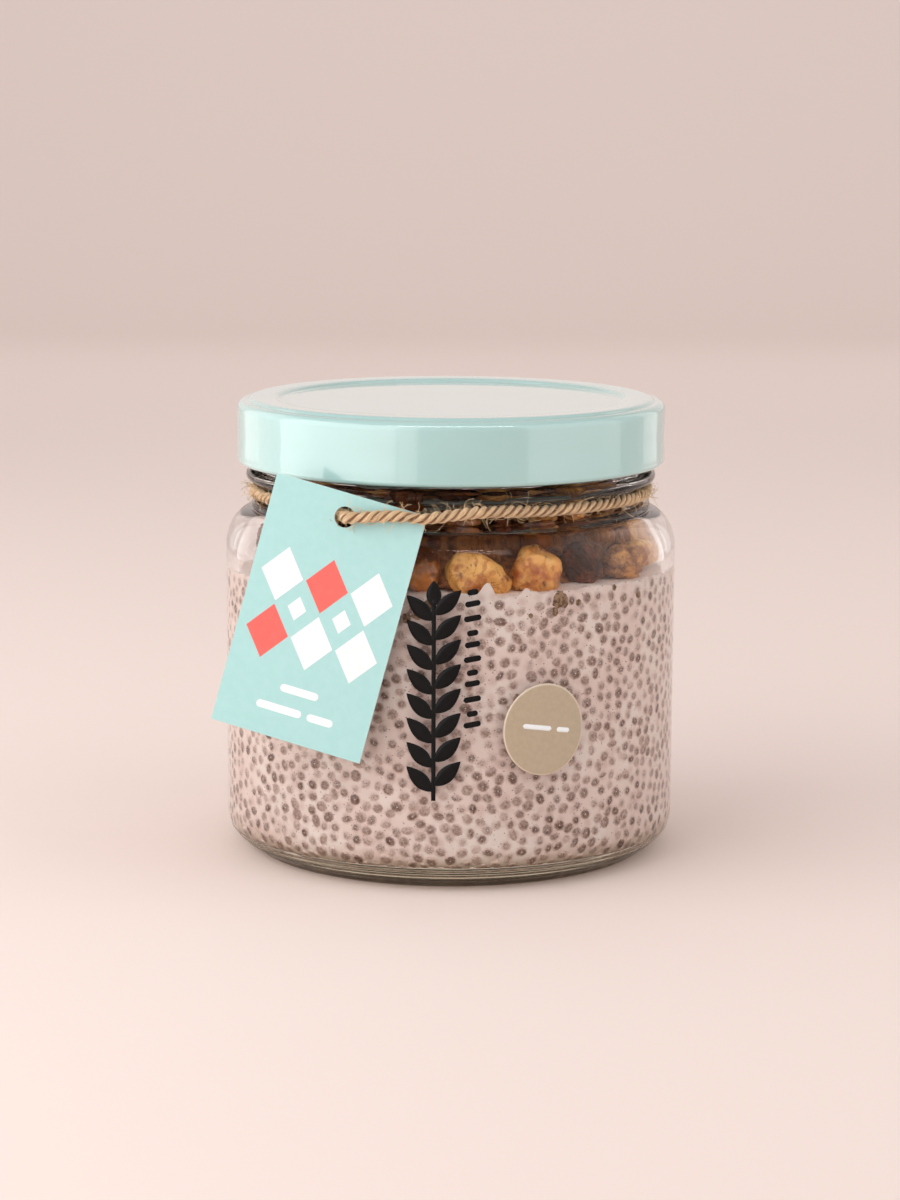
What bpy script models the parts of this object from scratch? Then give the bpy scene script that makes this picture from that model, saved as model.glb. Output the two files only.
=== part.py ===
"""Chia pudding in its glass jar, with a nut and fruit topping, a twist-off lid, a twine loop and a card tag.

Units are metres, +Z is up, and the front of the jar looks along -Y. The origin is on the jar's axis,
in the plane that the jar stands on.
"""
import math
import random

import bpy
from mathutils import Euler, Vector, noise

MM = 0.001
GAP = 0.3 * MM                     # air kept between neighbouring solids
TURN_STEPS = 44                    # sides of every turned solid
MERGE = 0.01 * MM

# Glass jar
BODY_R = 45.1 * MM
WALL = 2.5 * MM
NECK_INNER_R = 35.9 * MM
FOOT_R = 39.4 * MM
HEEL_TOP_Z = 7.0 * MM
HEEL_DROP = 6.2 * MM
HEEL_REACH = 7.0 * MM
HEEL_END = math.radians(64)
FLOOR_Z = 5.0 * MM
INNER_HEEL_REACH = 3.4 * MM
INNER_HEEL_RISE = 3.6 * MM
SHOULDER_Z = 60.8 * MM             # the straight wall ends here
SHOULDER_REACH = 5.5 * MM
SHOULDER_RISE = 7.6 * MM
INNER_SHOULDER_Z = 59.6 * MM
INNER_SHOULDER_RISE = 8.0 * MM
BAND_R = 40.0 * MM                 # plain band above the shoulder
BAND_Z = 69.0 * MM
GROOVE_R = 37.75 * MM              # waist that holds the twine
GROOVE_Z = 72.0 * MM
BEAD_R = 41.0 * MM                 # ring below the lid
BEAD_Z = 75.2 * MM
FINISH_R = 38.8 * MM               # cylinder under the lid
RIM_Z = 88.75 * MM

# Twist-off lid
LID_R = 42.8 * MM
LID_TOP_Z = 90.6 * MM
LID_BOTTOM_Z = 77.7 * MM
LID_SHEET = 0.6 * MM
LID_PANEL_R = 34.0 * MM
LID_PANEL_Z = 89.8 * MM
LID_RING_R = 39.5 * MM
LID_EDGE_ROUND = 1.6 * MM
LID_CURL = 0.85 * MM

# Pudding and its seeds
PUDDING_R = BODY_R - WALL - 1.0 * MM
PUDDING_LEVEL = 57.0 * MM
LEVEL_WAVE = 0.7 * MM
SEED_COUNT = 84
SEED_HALF = Vector((1.35, 0.75, 1.0)) * MM      # along the wall, into it, upright
SEED_SINK = 0.05 * MM
GOLDEN_ANGLE = math.pi * (3 - math.sqrt(5))

# Topping: centre, half sizes and turn of the pieces that are solids of their own
HAZELNUT_LEFT = (Vector((4.9, -36.2, 61.0)) * MM, Vector((5.7, 5.0, 5.0)) * MM, 20)
HAZELNUT_RIGHT = (Vector((15.8, -33.0, 61.2)) * MM, Vector((4.8, 4.9, 5.1)) * MM, -35)
RAISIN = (Vector((24.6, -27.8, 60.9)) * MM, Vector((4.0, 2.9, 3.2)) * MM, 40)
FRUIT_PIECE = (Vector((-5.8, -36.2, 61.2)) * MM, Vector((4.2, 3.5, 4.3)) * MM, -12)
HEAP_TOP_Z = 75.0 * MM
HEAP_STEPS = 28
HEAP_LOWER_PIECES = 17
HEAP_UPPER_PIECES = 13

# Card tag, hung by the twine against the front left of the jar
TAG_WIDTH = 29.8 * MM
TAG_HEIGHT = 48.6 * MM
TAG_THICK = 0.5 * MM
TAG_CENTRE = Vector((-24.8, -42.6, 52.9)) * MM
TAG_FACING = math.radians(-10)     # turned to the jar's left
TAG_LEAN = math.radians(5.5)       # lower edge stands off the glass
TAG_TILT = math.radians(14.4)      # swung in its own plane
TAG_HOLE = Vector((-0.2, 19.8)) * MM
TAG_HOLE_R = 2.1 * MM

# Twine loop
TWINE_R = 1.15 * MM
TWINE_RING_R = 39.3 * MM
TWINE_Z = 72.0 * MM
TWINE_TILT = 0.35 * MM
TWINE_RING_POINTS = 32

# Round label on the glass
LABEL_HALF_WIDTH = 8.3 * MM
LABEL_HALF_HEIGHT = 8.9 * MM
LABEL_THICK = 0.2 * MM
LABEL_AZIMUTH = math.radians(23.5)
LABEL_Z = 31.4 * MM

COLLECTION = "chia_pudding_jar"


def clear_scene():
    for obj in list(bpy.data.objects):
        bpy.data.objects.remove(obj)


def material(name, colour, roughness, metallic=0.0, transmission=0.0):
    made = bpy.data.materials.new(name)
    made.use_nodes = True
    shader = made.node_tree.nodes["Principled BSDF"]
    shader.inputs["Base Color"].default_value = (*colour, 1.0)
    shader.inputs["Roughness"].default_value = roughness
    shader.inputs["Metallic"].default_value = metallic
    shader.inputs["Transmission Weight"].default_value = transmission
    made.diffuse_color = (*colour, 1.0 - 0.7 * transmission)
    return made


def link(obj, collection, *materials):
    collection.objects.link(obj)
    for item in materials:
        obj.data.materials.append(item)
    return obj


def shade(obj):
    obj.data.shade_smooth()
    obj.data.set_sharp_from_angle(angle=math.radians(35))


def freeze(obj):
    """Replace an object's mesh by what its modifiers make of it."""
    bpy.context.view_layer.update()
    depsgraph = bpy.context.evaluated_depsgraph_get()
    mesh = bpy.data.meshes.new_from_object(obj.evaluated_get(depsgraph))
    obj.modifiers.clear()
    obj.data = mesh
    return obj


def arc(centre_r, centre_z, reach, rise, start, end, count):
    """Points of an elliptical arc in the (radius, height) plane, angles from the outward direction."""
    points = []
    for i in range(count):
        angle = start + (end - start) * i / (count - 1)
        points.append((centre_r + reach * math.cos(angle), centre_z + rise * math.sin(angle)))
    return points


def turned(name, profile, collection, finish, steps=TURN_STEPS):
    """Turn a profile that runs down its outer side into a closed solid."""
    mesh = bpy.data.meshes.new(name)
    edges = [(i, i + 1) for i in range(len(profile) - 1)]
    mesh.from_pydata([(r, 0.0, z) for r, z in profile], edges, [])
    obj = link(bpy.data.objects.new(name, mesh), collection, finish)
    screw = obj.modifiers.new("turn", "SCREW")
    screw.axis = "Z"
    screw.angle = 2 * math.pi
    screw.steps = steps
    screw.render_steps = steps
    screw.use_merge_vertices = True
    screw.merge_threshold = MERGE
    freeze(obj)
    shade(obj)
    return obj


def inner_wall():
    """The glass's inner side, from the middle of its floor up to the mouth."""
    inner_r = BODY_R - WALL
    heel = arc(inner_r - INNER_HEEL_REACH, FLOOR_Z + INNER_HEEL_RISE, INNER_HEEL_REACH,
               INNER_HEEL_RISE, -math.pi / 2, 0, 4)
    shoulder = arc(NECK_INNER_R, INNER_SHOULDER_Z, inner_r - NECK_INNER_R, INNER_SHOULDER_RISE,
                   0, math.pi / 2, 4)
    return [(0.0, FLOOR_Z)] + heel + shoulder + [(NECK_INNER_R, RIM_Z - 0.7 * MM)]


def outer_wall():
    """The glass's outer side, from the mouth down to the middle of its base."""
    neck = [
        (NECK_INNER_R + 0.8 * MM, RIM_Z),
        (FINISH_R - 0.8 * MM, RIM_Z),
        (FINISH_R, RIM_Z - 0.8 * MM),
        (FINISH_R, BEAD_Z + 1.5 * MM),
        (BEAD_R - 0.3 * MM, BEAD_Z + 0.8 * MM),
        (BEAD_R, BEAD_Z),
        (BEAD_R - 0.3 * MM, BEAD_Z - 0.8 * MM),
        (GROOVE_R, GROOVE_Z + 1.0 * MM),
        (GROOVE_R, GROOVE_Z - 1.0 * MM),
        (BAND_R - 0.3 * MM, BAND_Z + 0.7 * MM),
        (BAND_R, BAND_Z),
    ]
    shoulder = arc(BODY_R - SHOULDER_REACH, SHOULDER_Z, SHOULDER_REACH, SHOULDER_RISE,
                   math.pi / 2, 0, 6)
    heel = arc(BODY_R - HEEL_REACH, HEEL_TOP_Z, HEEL_REACH, HEEL_DROP, 0, -HEEL_END, 5)
    foot = [(FOOT_R + 0.8 * MM, 0.9 * MM), (FOOT_R, 0.0), (0.0, 0.0)]
    return neck + shoulder + heel + foot


def make_jar(collection, glass):
    return turned("jar_glass", inner_wall() + outer_wall(), collection, glass)


def make_lid(collection, paint):
    """A drawn metal cap: recessed panel, raised ring, straight side and curled lower edge."""
    edge = arc(LID_R - LID_EDGE_ROUND, LID_TOP_Z - 0.6 * MM - LID_EDGE_ROUND, LID_EDGE_ROUND,
               LID_EDGE_ROUND, math.radians(80), 0, 4)
    curl = arc(LID_R - LID_CURL, LID_BOTTOM_Z + LID_CURL, LID_CURL, LID_CURL, 0, -math.radians(215), 6)
    inside_r = LID_R - LID_SHEET
    under_z = LID_TOP_Z - LID_SHEET
    profile = [(0.0, LID_PANEL_Z), (LID_PANEL_R, LID_PANEL_Z), (LID_RING_R - 1.6 * MM, LID_TOP_Z - 0.15 * MM),
               (LID_RING_R, LID_TOP_Z), (LID_RING_R + 1.3 * MM, LID_TOP_Z - 0.5 * MM)]
    profile += edge + curl
    profile += [(inside_r, LID_BOTTOM_Z + 2.4 * MM), (inside_r, under_z - 2.0 * MM),
                (inside_r - 1.2 * MM, under_z - 0.8 * MM), (LID_RING_R, under_z),
                (LID_PANEL_R, LID_PANEL_Z - LID_SHEET), (0.0, LID_PANEL_Z - LID_SHEET)]
    return turned("lid", profile, collection, paint)


def level_at(x, y):
    """Height of the pudding's surface, which waves a little and rises a little at the front."""
    wave = noise.noise(Vector((x * 90, y * 90, 3.7)))
    front = max(0.0, -y / BODY_R)
    return PUDDING_LEVEL + LEVEL_WAVE * wave + 0.5 * MM * front


def wall_point(radius, angle, height):
    return Vector((radius * math.sin(angle), -radius * math.cos(angle), height))


def rough_ball(name, centre, half, turn, collection, finish, subdivisions, grain=0.08, seed=0.0, grow=0.0):
    """An uneven rounded piece: a sphere stretched to its half sizes and roughened by smooth noise."""
    bpy.ops.mesh.primitive_ico_sphere_add(subdivisions=subdivisions, radius=1.0)
    obj = bpy.context.object
    obj.name = name
    obj.data.name = name
    for other in list(obj.users_collection):
        other.objects.unlink(obj)
    spin = Euler((0.0, math.radians(turn), 0.0))
    for vertex in obj.data.vertices:
        direction = vertex.co.normalized()
        swell = 1.0 + grain * noise.noise(direction * 1.7 + Vector((seed, 2.0 * seed, 0.5)))
        place = Vector((direction.x * half.x, direction.y * half.y, direction.z * half.z)) * swell
        vertex.co = spin.to_matrix() @ (place + direction * grow) + centre
    link(obj, collection, finish)
    shade(obj)
    return obj


def combine(target, operation, collection):
    """Join a collection's objects to the target or cut them from it, then remove them."""
    step = target.modifiers.new(operation.lower(), "BOOLEAN")
    step.operation = operation
    step.operand_type = "COLLECTION"
    step.collection = collection
    step.solver = "EXACT"
    freeze(target)
    for obj in list(collection.objects):
        bpy.data.objects.remove(obj)
    return target


def whole_pieces(finishes):
    """The topping's large pieces, each with its seed for the uneven surface."""
    return [
        ("hazelnut_left", *HAZELNUT_LEFT, finishes["nut"], 3, 0.07, 1.0),
        ("hazelnut_right", *HAZELNUT_RIGHT, finishes["nut"], 3, 0.07, 2.0),
        ("raisin", *RAISIN, finishes["raisin"], 2, 0.25, 3.0),
        ("fruit_piece", *FRUIT_PIECE, finishes["fruit"], 2, 0.3, 4.0),
    ]


def cut_pockets(target, pieces, collection, finish):
    """Leave room in the target for the topping's large pieces."""
    for name, centre, half, turn, _, _, grain, seed in pieces:
        rough_ball("pocket_" + name, centre, half, turn, collection, finish, 2,
                   grain, seed, grow=0.75 * MM)
    return combine(target, "DIFFERENCE", collection)


def make_pudding(collection, helpers, pieces, finish):
    inner_r = PUDDING_R
    heel = arc(inner_r - INNER_HEEL_REACH, FLOOR_Z + GAP + INNER_HEEL_RISE, INNER_HEEL_REACH,
               INNER_HEEL_RISE, 0, -math.pi / 2, 4)
    rings = [inner_r * part for part in (0.0, 0.25, 0.5, 0.72, 0.88, 1.0)]
    profile = [(r, PUDDING_LEVEL) for r in rings] + heel + [(0.0, FLOOR_Z + GAP)]
    obj = turned("pudding", profile, collection, finish)
    for vertex in obj.data.vertices:
        if vertex.co.z > PUDDING_LEVEL - GAP:
            vertex.co.z = level_at(vertex.co.x, vertex.co.y)
    lowest = FLOOR_Z + INNER_HEEL_RISE + 2.0 * MM
    highest = PUDDING_LEVEL - 2.5 * MM
    for i in range(SEED_COUNT):
        angle = i * GOLDEN_ANGLE
        height = lowest + (highest - lowest) * (i + 0.5) / SEED_COUNT
        centre = wall_point(inner_r * math.cos(math.pi / TURN_STEPS) - SEED_SINK, angle, height)
        bpy.ops.mesh.primitive_ico_sphere_add(subdivisions=1, radius=1.0)
        seed = bpy.context.object
        seed.name = f"seed_{i:03d}"
        for other in list(seed.users_collection):
            other.objects.unlink(seed)
        turn = Euler((0.0, 0.6 * math.sin(7.0 * i), angle)).to_matrix()
        for vertex in seed.data.vertices:
            co = vertex.co
            vertex.co = turn @ Vector((co.x * SEED_HALF.x, co.y * SEED_HALF.y, co.z * SEED_HALF.z)) + centre
        link(seed, helpers, finish)
    combine(obj, "UNION", helpers)
    cut_pockets(obj, pieces, helpers, finish)
    shade(obj)
    return obj


def clear_radius(height, size):
    """How far from the axis a ball of this size may lie inside the glass."""
    wall = inner_wall()
    radius = BODY_R - WALL - size
    while radius > 0:
        nearest = min(distance_to_edge((radius, height), wall[i], wall[i + 1]) for i in range(len(wall) - 1))
        if nearest >= size + 0.5 * MM:
            return radius
        radius -= 0.2 * MM
    return 0.0


def distance_to_edge(point, start, end):
    p = Vector(point)
    a = Vector(start)
    b = Vector(end)
    along = max(0.0, min(1.0, (p - a).dot(b - a) / max((b - a).length_squared, 1e-12)))
    return (p - a - (b - a) * along).length


def make_heap(collection, helpers, pieces, finish):
    """The rest of the topping: a core with the pieces that show at the glass and on top joined to it."""
    draw = random.Random(11)
    under = PUDDING_LEVEL + GAP
    profile = [(0.0, HEAP_TOP_Z - 4.0 * MM), (12 * MM, HEAP_TOP_Z - 4.5 * MM), (22 * MM, HEAP_TOP_Z - 6.5 * MM),
               (28.5 * MM, 66.0 * MM), (33.0 * MM, 62.5 * MM), (37.0 * MM, 59.5 * MM), (38.0 * MM, under),
               (28 * MM, under), (15 * MM, under), (0.0, under)]
    obj = turned("topping_heap", profile, collection, finish, HEAP_STEPS)
    for vertex in obj.data.vertices:
        x, y, z = vertex.co
        if z < under + 0.1 * MM:
            vertex.co.z = level_at(x, y) + 2 * GAP
        else:
            vertex.co.z += 1.2 * MM * noise.noise(Vector((x * 120, y * 120, z * 120)))
    kept = [(centre, max(half)) for _, centre, half, _, _, _, _, _ in pieces]
    for i in range(HEAP_LOWER_PIECES):
        size = draw.uniform(4.2, 5.6) * MM
        height = PUDDING_LEVEL + 1.3 * MM + size * 0.9 + 2.2 * MM * (i % 2)
        centre = wall_point(clear_radius(height, size), 2 * math.pi * (i + 0.5) / HEAP_LOWER_PIECES, height)
        add_heap_piece(i, centre, size, draw, kept, helpers, finish)
    for i in range(HEAP_UPPER_PIECES):
        size = draw.uniform(4.2, 5.8) * MM
        radius = 28.0 * MM * math.sqrt((i + 0.5) / HEAP_UPPER_PIECES)
        height = HEAP_TOP_Z - 3.5 * MM - 4.5 * MM * (radius / (28 * MM)) ** 2
        centre = wall_point(min(radius, clear_radius(height, size)), i * GOLDEN_ANGLE, height)
        add_heap_piece(HEAP_LOWER_PIECES + i, centre, size, draw, kept, helpers, finish)
    combine(obj, "UNION", helpers)
    cut_pockets(obj, pieces, helpers, finish)
    shade(obj)
    return obj


def add_heap_piece(index, centre, size, draw, kept, helpers, finish):
    """One piece of the heap, left out where it would cross a piece that is a solid of its own."""
    half = Vector((1.0, draw.uniform(0.75, 0.95), draw.uniform(0.7, 0.9))) * size
    turn = draw.uniform(-40, 40)
    if all((centre - other).length > size + reach + GAP for other, reach in kept):
        rough_ball(f"heap_{index:03d}", centre, half, turn, helpers, finish, 2, 0.22, 5.0 + index)


def make_whole_pieces(collection, pieces):
    for name, centre, half, turn, finish, subdivisions, grain, seed in pieces:
        rough_ball(name, centre, half, turn, collection, finish, subdivisions, grain, seed)


def tag_axes():
    """The tag's own directions: to its right, up its face, and out of its face."""
    out = Vector((math.sin(TAG_FACING), -math.cos(TAG_FACING), 0.0))
    right = Vector((math.cos(TAG_FACING), math.sin(TAG_FACING), 0.0))
    rise = Vector((0.0, 0.0, 1.0)) * math.cos(TAG_LEAN) - out * math.sin(TAG_LEAN)
    across = right * math.cos(TAG_TILT) - rise * math.sin(TAG_TILT)
    upward = right * math.sin(TAG_TILT) + rise * math.cos(TAG_TILT)
    return across, upward, across.cross(upward)


def tag_point(u, v, lift):
    across, upward, out = tag_axes()
    return TAG_CENTRE + across * u + upward * v + out * lift


def add_outline(curve, points):
    spline = curve.splines.new("POLY")
    spline.points.add(len(points) - 1)
    for slot, (x, y) in zip(spline.points, points):
        slot.co = (x, y, 0.0, 1.0)
    spline.use_cyclic_u = True


def make_tag(collection, card):
    curve = bpy.data.curves.new("tag", "CURVE")
    curve.dimensions = "2D"
    curve.fill_mode = "BOTH"
    curve.extrude = TAG_THICK / 2
    half_w = TAG_WIDTH / 2
    half_h = TAG_HEIGHT / 2
    add_outline(curve, [(-half_w, -half_h), (half_w, -half_h), (half_w, half_h), (-half_w, half_h)])
    sides = 20
    hole = [(TAG_HOLE.x + TAG_HOLE_R * math.cos(2 * math.pi * i / sides),
             TAG_HOLE.y + TAG_HOLE_R * math.sin(2 * math.pi * i / sides)) for i in range(sides)]
    add_outline(curve, hole)
    obj = link(bpy.data.objects.new("tag", curve), collection, card)
    across, upward, out = tag_axes()
    turn = obj.matrix_world.to_3x3()
    turn.col[0] = across
    turn.col[1] = upward
    turn.col[2] = out
    obj.location = TAG_CENTRE
    obj.rotation_euler = turn.to_euler()
    return obj


def ring_route():
    """The stretch of the loop that lies in the jar's waist, from the front right round the back."""
    first = math.radians(28)
    last = math.radians(360 - 52)
    points = []
    for i in range(TWINE_RING_POINTS):
        angle = first + (last - first) * i / (TWINE_RING_POINTS - 1)
        height = TWINE_Z + TWINE_TILT * math.cos(angle) + 0.2 * MM * math.sin(angle)
        points.append(wall_point(TWINE_RING_R, angle, height))
    return points


def tag_route():
    """The stretch behind the tag, through its hole, over its face and back to the waist."""
    off = TAG_THICK / 2 + TWINE_R + GAP
    places = [(-2.6, -0.4, -5.4), (-1.0, -0.1, -2.7), (-0.35, 0.0, -1.0), (0.35, 0.0, 1.0),
              (1.4, 0.3, 2.1), (3.4, 1.0, 2.1), (6.5, 2.1, off / MM), (11.0, 3.2, off / MM),
              (15.2, 4.1, 1.1 * off / MM)]
    points = [tag_point(TAG_HOLE.x + u * MM, TAG_HOLE.y + v * MM, n * MM) for u, v, n in places]
    return points + [Vector((5.0 * MM, -42.7 * MM, TWINE_Z + 1.1 * MM))]


def smooth_loop(ring, detail, fine):
    """A closed smooth curve through both stretches, read at each ring point and finely in the other one."""
    points = ring + detail
    total = len(points)
    picked = []
    for i in range(total):
        a, b, c, d = (points[(i + k) % total] for k in (-1, 0, 1, 2))
        parts = 1 if i < len(ring) - 1 else fine
        for j in range(parts):
            t = j / parts
            picked.append(0.5 * (2 * b + (c - a) * t + (2 * a - 5 * b + 4 * c - d) * t * t
                                 + (3 * b - a - 3 * c + d) * t ** 3))
    return picked


def make_twine(collection, fibre):
    curve = bpy.data.curves.new("twine", "CURVE")
    curve.dimensions = "3D"
    curve.bevel_depth = TWINE_R
    curve.bevel_resolution = 2
    route = smooth_loop(ring_route(), tag_route(), 3)
    spline = curve.splines.new("POLY")
    spline.points.add(len(route) - 1)
    for slot, point in zip(spline.points, route):
        slot.co = (*point, 1.0)
    spline.use_cyclic_u = True
    return link(bpy.data.objects.new("twine", curve), collection, fibre)


def make_label(collection, paper):
    """A thin round sticker that follows the glass."""
    bpy.ops.mesh.primitive_circle_add(vertices=20, radius=1.0, fill_type="TRIFAN")
    obj = bpy.context.object
    obj.name = "round_label"
    obj.data.name = "round_label"
    for other in list(obj.users_collection):
        other.objects.unlink(obj)
    link(obj, collection, paper)
    split = obj.modifiers.new("rings", "SUBSURF")
    split.subdivision_type = "SIMPLE"
    split.levels = 1
    split.render_levels = 1
    freeze(obj)
    inner = BODY_R + GAP
    for vertex in obj.data.vertices:
        x, y, _ = vertex.co
        angle = LABEL_AZIMUTH + x * LABEL_HALF_WIDTH / inner
        vertex.co = wall_point(inner, angle, LABEL_Z + y * LABEL_HALF_HEIGHT)
    solid = obj.modifiers.new("thickness", "SOLIDIFY")
    solid.thickness = LABEL_THICK
    solid.offset = 1.0
    return obj


def main():
    clear_scene()
    parts = bpy.data.collections.new(COLLECTION)
    helpers = bpy.data.collections.new("cutters")
    bpy.context.scene.collection.children.link(parts)
    bpy.context.scene.collection.children.link(helpers)
    glass = material("clear_glass", (0.93, 0.95, 0.93), 0.03, transmission=1.0)
    paint = material("mint_paint", (0.50, 0.79, 0.74), 0.22)
    pudding = material("pudding", (0.68, 0.57, 0.54), 0.55)
    heap = material("nut_and_fruit_mix", (0.33, 0.17, 0.07), 0.5)
    card = material("mint_card", (0.53, 0.80, 0.75), 0.6)
    fibre = material("jute", (0.55, 0.36, 0.18), 0.85)
    paper = material("taupe_paper", (0.42, 0.33, 0.25), 0.55)
    finishes = {
        "nut": material("hazelnut", (0.70, 0.45, 0.19), 0.45),
        "raisin": material("raisin", (0.06, 0.03, 0.02), 0.4),
        "fruit": material("amber_fruit", (0.35, 0.12, 0.03), 0.3),
    }
    pieces = whole_pieces(finishes)
    make_jar(parts, glass)
    make_lid(parts, paint)
    make_pudding(parts, helpers, pieces, pudding)
    make_heap(parts, helpers, pieces, heap)
    make_whole_pieces(parts, pieces)
    make_tag(parts, card)
    make_twine(parts, fibre)
    make_label(parts, paper)


main()
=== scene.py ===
"""The chia pudding in its glass jar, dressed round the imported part. Units are metres and +Z is up.

The front of the jar looks along -Y. Angles round the jar are counted from the front towards +X.
"""
import math
import random

import bpy
import numpy as np
from mathutils import Euler, Matrix, Vector, noise
from mathutils.kdtree import KDTree


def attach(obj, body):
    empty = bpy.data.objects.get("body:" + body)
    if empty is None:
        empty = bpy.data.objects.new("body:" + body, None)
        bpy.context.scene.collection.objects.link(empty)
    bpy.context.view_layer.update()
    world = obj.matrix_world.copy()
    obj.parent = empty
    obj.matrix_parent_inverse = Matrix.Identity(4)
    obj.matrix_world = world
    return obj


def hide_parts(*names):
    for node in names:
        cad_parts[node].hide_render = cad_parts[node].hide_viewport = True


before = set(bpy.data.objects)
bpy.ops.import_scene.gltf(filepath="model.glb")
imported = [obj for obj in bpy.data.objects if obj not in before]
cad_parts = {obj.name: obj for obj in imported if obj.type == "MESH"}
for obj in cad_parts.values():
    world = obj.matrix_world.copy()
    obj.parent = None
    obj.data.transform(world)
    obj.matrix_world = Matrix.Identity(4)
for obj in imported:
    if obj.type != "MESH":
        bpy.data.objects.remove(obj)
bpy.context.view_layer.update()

MM = 0.001
GOLDEN_ANGLE = 2.39996              # radians between neighbours in an even spiral

# Glass jar, as in the part's source
BODY_R = 45.1 * MM
WALL = 2.5 * MM
INNER_R = BODY_R - WALL
NECK_INNER_R = 35.9 * MM
HEEL_TOP_Z = 7.0 * MM
HEEL_DROP = 6.2 * MM
HEEL_REACH = 7.0 * MM
HEEL_END = math.radians(64)
HEEL_POINTS = 44
FOOT_RING_HEIGHT = 0.11 * MM
FOOT_RING_START = math.radians(22)
FOOT_RING_PITCH = math.radians(12)
FLOOR_Z = 5.0 * MM
INNER_HEEL_REACH = 3.4 * MM
INNER_HEEL_RISE = 3.6 * MM
SHOULDER_Z = 60.8 * MM
SHOULDER_REACH = 5.5 * MM
SHOULDER_RISE = 7.6 * MM
INNER_SHOULDER_Z = 59.6 * MM
INNER_SHOULDER_RISE = 8.0 * MM
BAND_R = 40.0 * MM
BAND_Z = 69.1 * MM
GROOVE_R = 37.75 * MM
GROOVE_Z = 72.0 * MM
BEAD_R = 41.0 * MM
BEAD_Z = 75.2 * MM
FINISH_R = 38.8 * MM
RIM_Z = 88.75 * MM
LIP = 1.45 * MM
GLASS_STEPS = 256
THREAD_STARTS = 4
THREAD_FIRST = math.radians(-27)
THREAD_SPAN = math.radians(76)
THREAD_LOW_Z = 77.5 * MM
THREAD_RISE = 3.4 * MM
THREAD_HEIGHT = 1.2 * MM
THREAD_HALF_WIDTH = 0.85 * MM
PUSH_UP = 1.1 * MM                  # how far the middle of the base stands off the floor

# Lid
LID_R = 42.8 * MM
LID_TOP_Z = 90.6 * MM
LID_BOTTOM_Z = 77.7 * MM
LID_SHEET = 0.35 * MM
LID_PANEL_R = 33.8 * MM
LID_PANEL_Z = 89.8 * MM
LID_EDGE_ROUND = 1.6 * MM
LID_CURL = 0.85 * MM
LID_STEPS = 256

# Pudding and seeds
WET = 0.12 * MM                     # how far the pudding reaches into the glass
PUDDING_LEVEL = 57.0 * MM
LEVEL_WAVE = 0.7 * MM
LEVEL_FRONT_RISE = 0.5 * MM         # how much higher the pudding stands at the front
RIM_WAVE = 0.5 * MM
RIM_RIPPLE = 0.26 * MM
PUDDING_STEPS = 512
PUDDING_ROW = 0.46 * MM
MOST_POINTS = 900000.0              # points a square metre, before the spacing thins them
SEED_SPACING = 2.0 * MM
SEED_HALF = Vector((1.36, 1.2, 0.42)) * MM
SEED_LEAST_DEPTH = 0.08 * MM
SEED_MORE_DEPTH = 0.2 * MM
SEED_TOP_Z = 56.2 * MM
SHADE_REACH = 1.9 * MM

# Topping pieces that are nodes: centre, half sizes and turn
HAZELNUT_LEFT = (Vector((5.1, -36.2, 59.7)) * MM, Vector((6.4, 5.2, 5.0)) * MM, 20)
HAZELNUT_RIGHT = (Vector((15.8, -33.0, 60.0)) * MM, Vector((5.4, 5.0, 5.3)) * MM, -35)
RAISIN = (Vector((24.6, -27.8, 60.9)) * MM, Vector((4.0, 2.9, 3.2)) * MM, 40)
FRUIT_PIECE = (Vector((-5.8, -36.2, 61.2)) * MM, Vector((4.2, 3.5, 4.3)) * MM, -12)
LARGE_PIECE_TONE = 0.1
HEAP_TOP_Z = 75.0 * MM

# Card tag
TAG_WIDTH = 29.8 * MM
TAG_HEIGHT = 48.6 * MM
TAG_THICK = 0.5 * MM
TAG_CENTRE = Vector((-24.8, -42.6, 52.9)) * MM
TAG_FACING = math.radians(-10)
TAG_LEAN = math.radians(5.5)
TAG_TILT = math.radians(14.4)
TAG_HOLE = Vector((-0.2, 19.8)) * MM
TAG_HOLE_R = 2.0 * MM
TAG_ART_V = 0.6 * MM
TAG_PRINT_LIFT = 0.012 * MM
LOZENGE_WIDTH = 8.9 * MM
LOZENGE_HEIGHT = 11.2 * MM
LOZENGE_FILL = 0.94                 # how much of its cell a lozenge takes up
SMALL_LOZENGE = 0.42
BAR_HEIGHT = 1.5 * MM

# Twine
TWINE_R = 1.15 * MM
TWINE_RING_R = 39.3 * MM
TWINE_Z = 72.0 * MM
TWINE_TILT = 0.35 * MM
TWINE_RING_START = math.radians(28)
TWINE_RING_END = math.radians(360 - 52)
TWINE_RING_POINTS = 32
TWINE_PLIES = 3
TWINE_PITCH = 5.8 * MM
TWINE_STEP = 0.3 * MM
PLY_R = 0.62 * MM
PLY_REACH = 0.55 * MM               # how far a ply's middle lies from the twine's
FIBRE_SPACING = 0.85 * MM
FIBRE_R = 0.055 * MM

# Round label and the print on the glass
LABEL_HALF_WIDTH = 8.3 * MM
LABEL_HALF_HEIGHT = 8.9 * MM
LABEL_LIFT = 0.2 * MM               # how far the label's face stands off the glass
LABEL_THICK = 0.18 * MM
LABEL_AZIMUTH = math.radians(23.5)
LABEL_Z = 31.4 * MM
MARK_LIFT = 0.215 * MM
MARK_TILT = math.radians(-9)
PRINT_LIFT = 0.03 * MM
PRINT_THICK = 0.02 * MM
SPRIG_AZIMUTH = math.radians(-3.9)
LEAF_PAIRS = 8
LEAF_LEAN = math.radians(46)
DASH_AZIMUTH = math.radians(5.4)
DASH_TILT = math.radians(10)
DASH_HEIGHT = 1.1 * MM

# Light
SKY_COLOUR = (1.0, 0.955, 0.935, 1.0)
SKY_STRENGTH = 0.66
COOL_WHITE = (0.93, 0.97, 1.0)
PALE_COOL_WHITE = (0.95, 0.98, 1.0)

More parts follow.
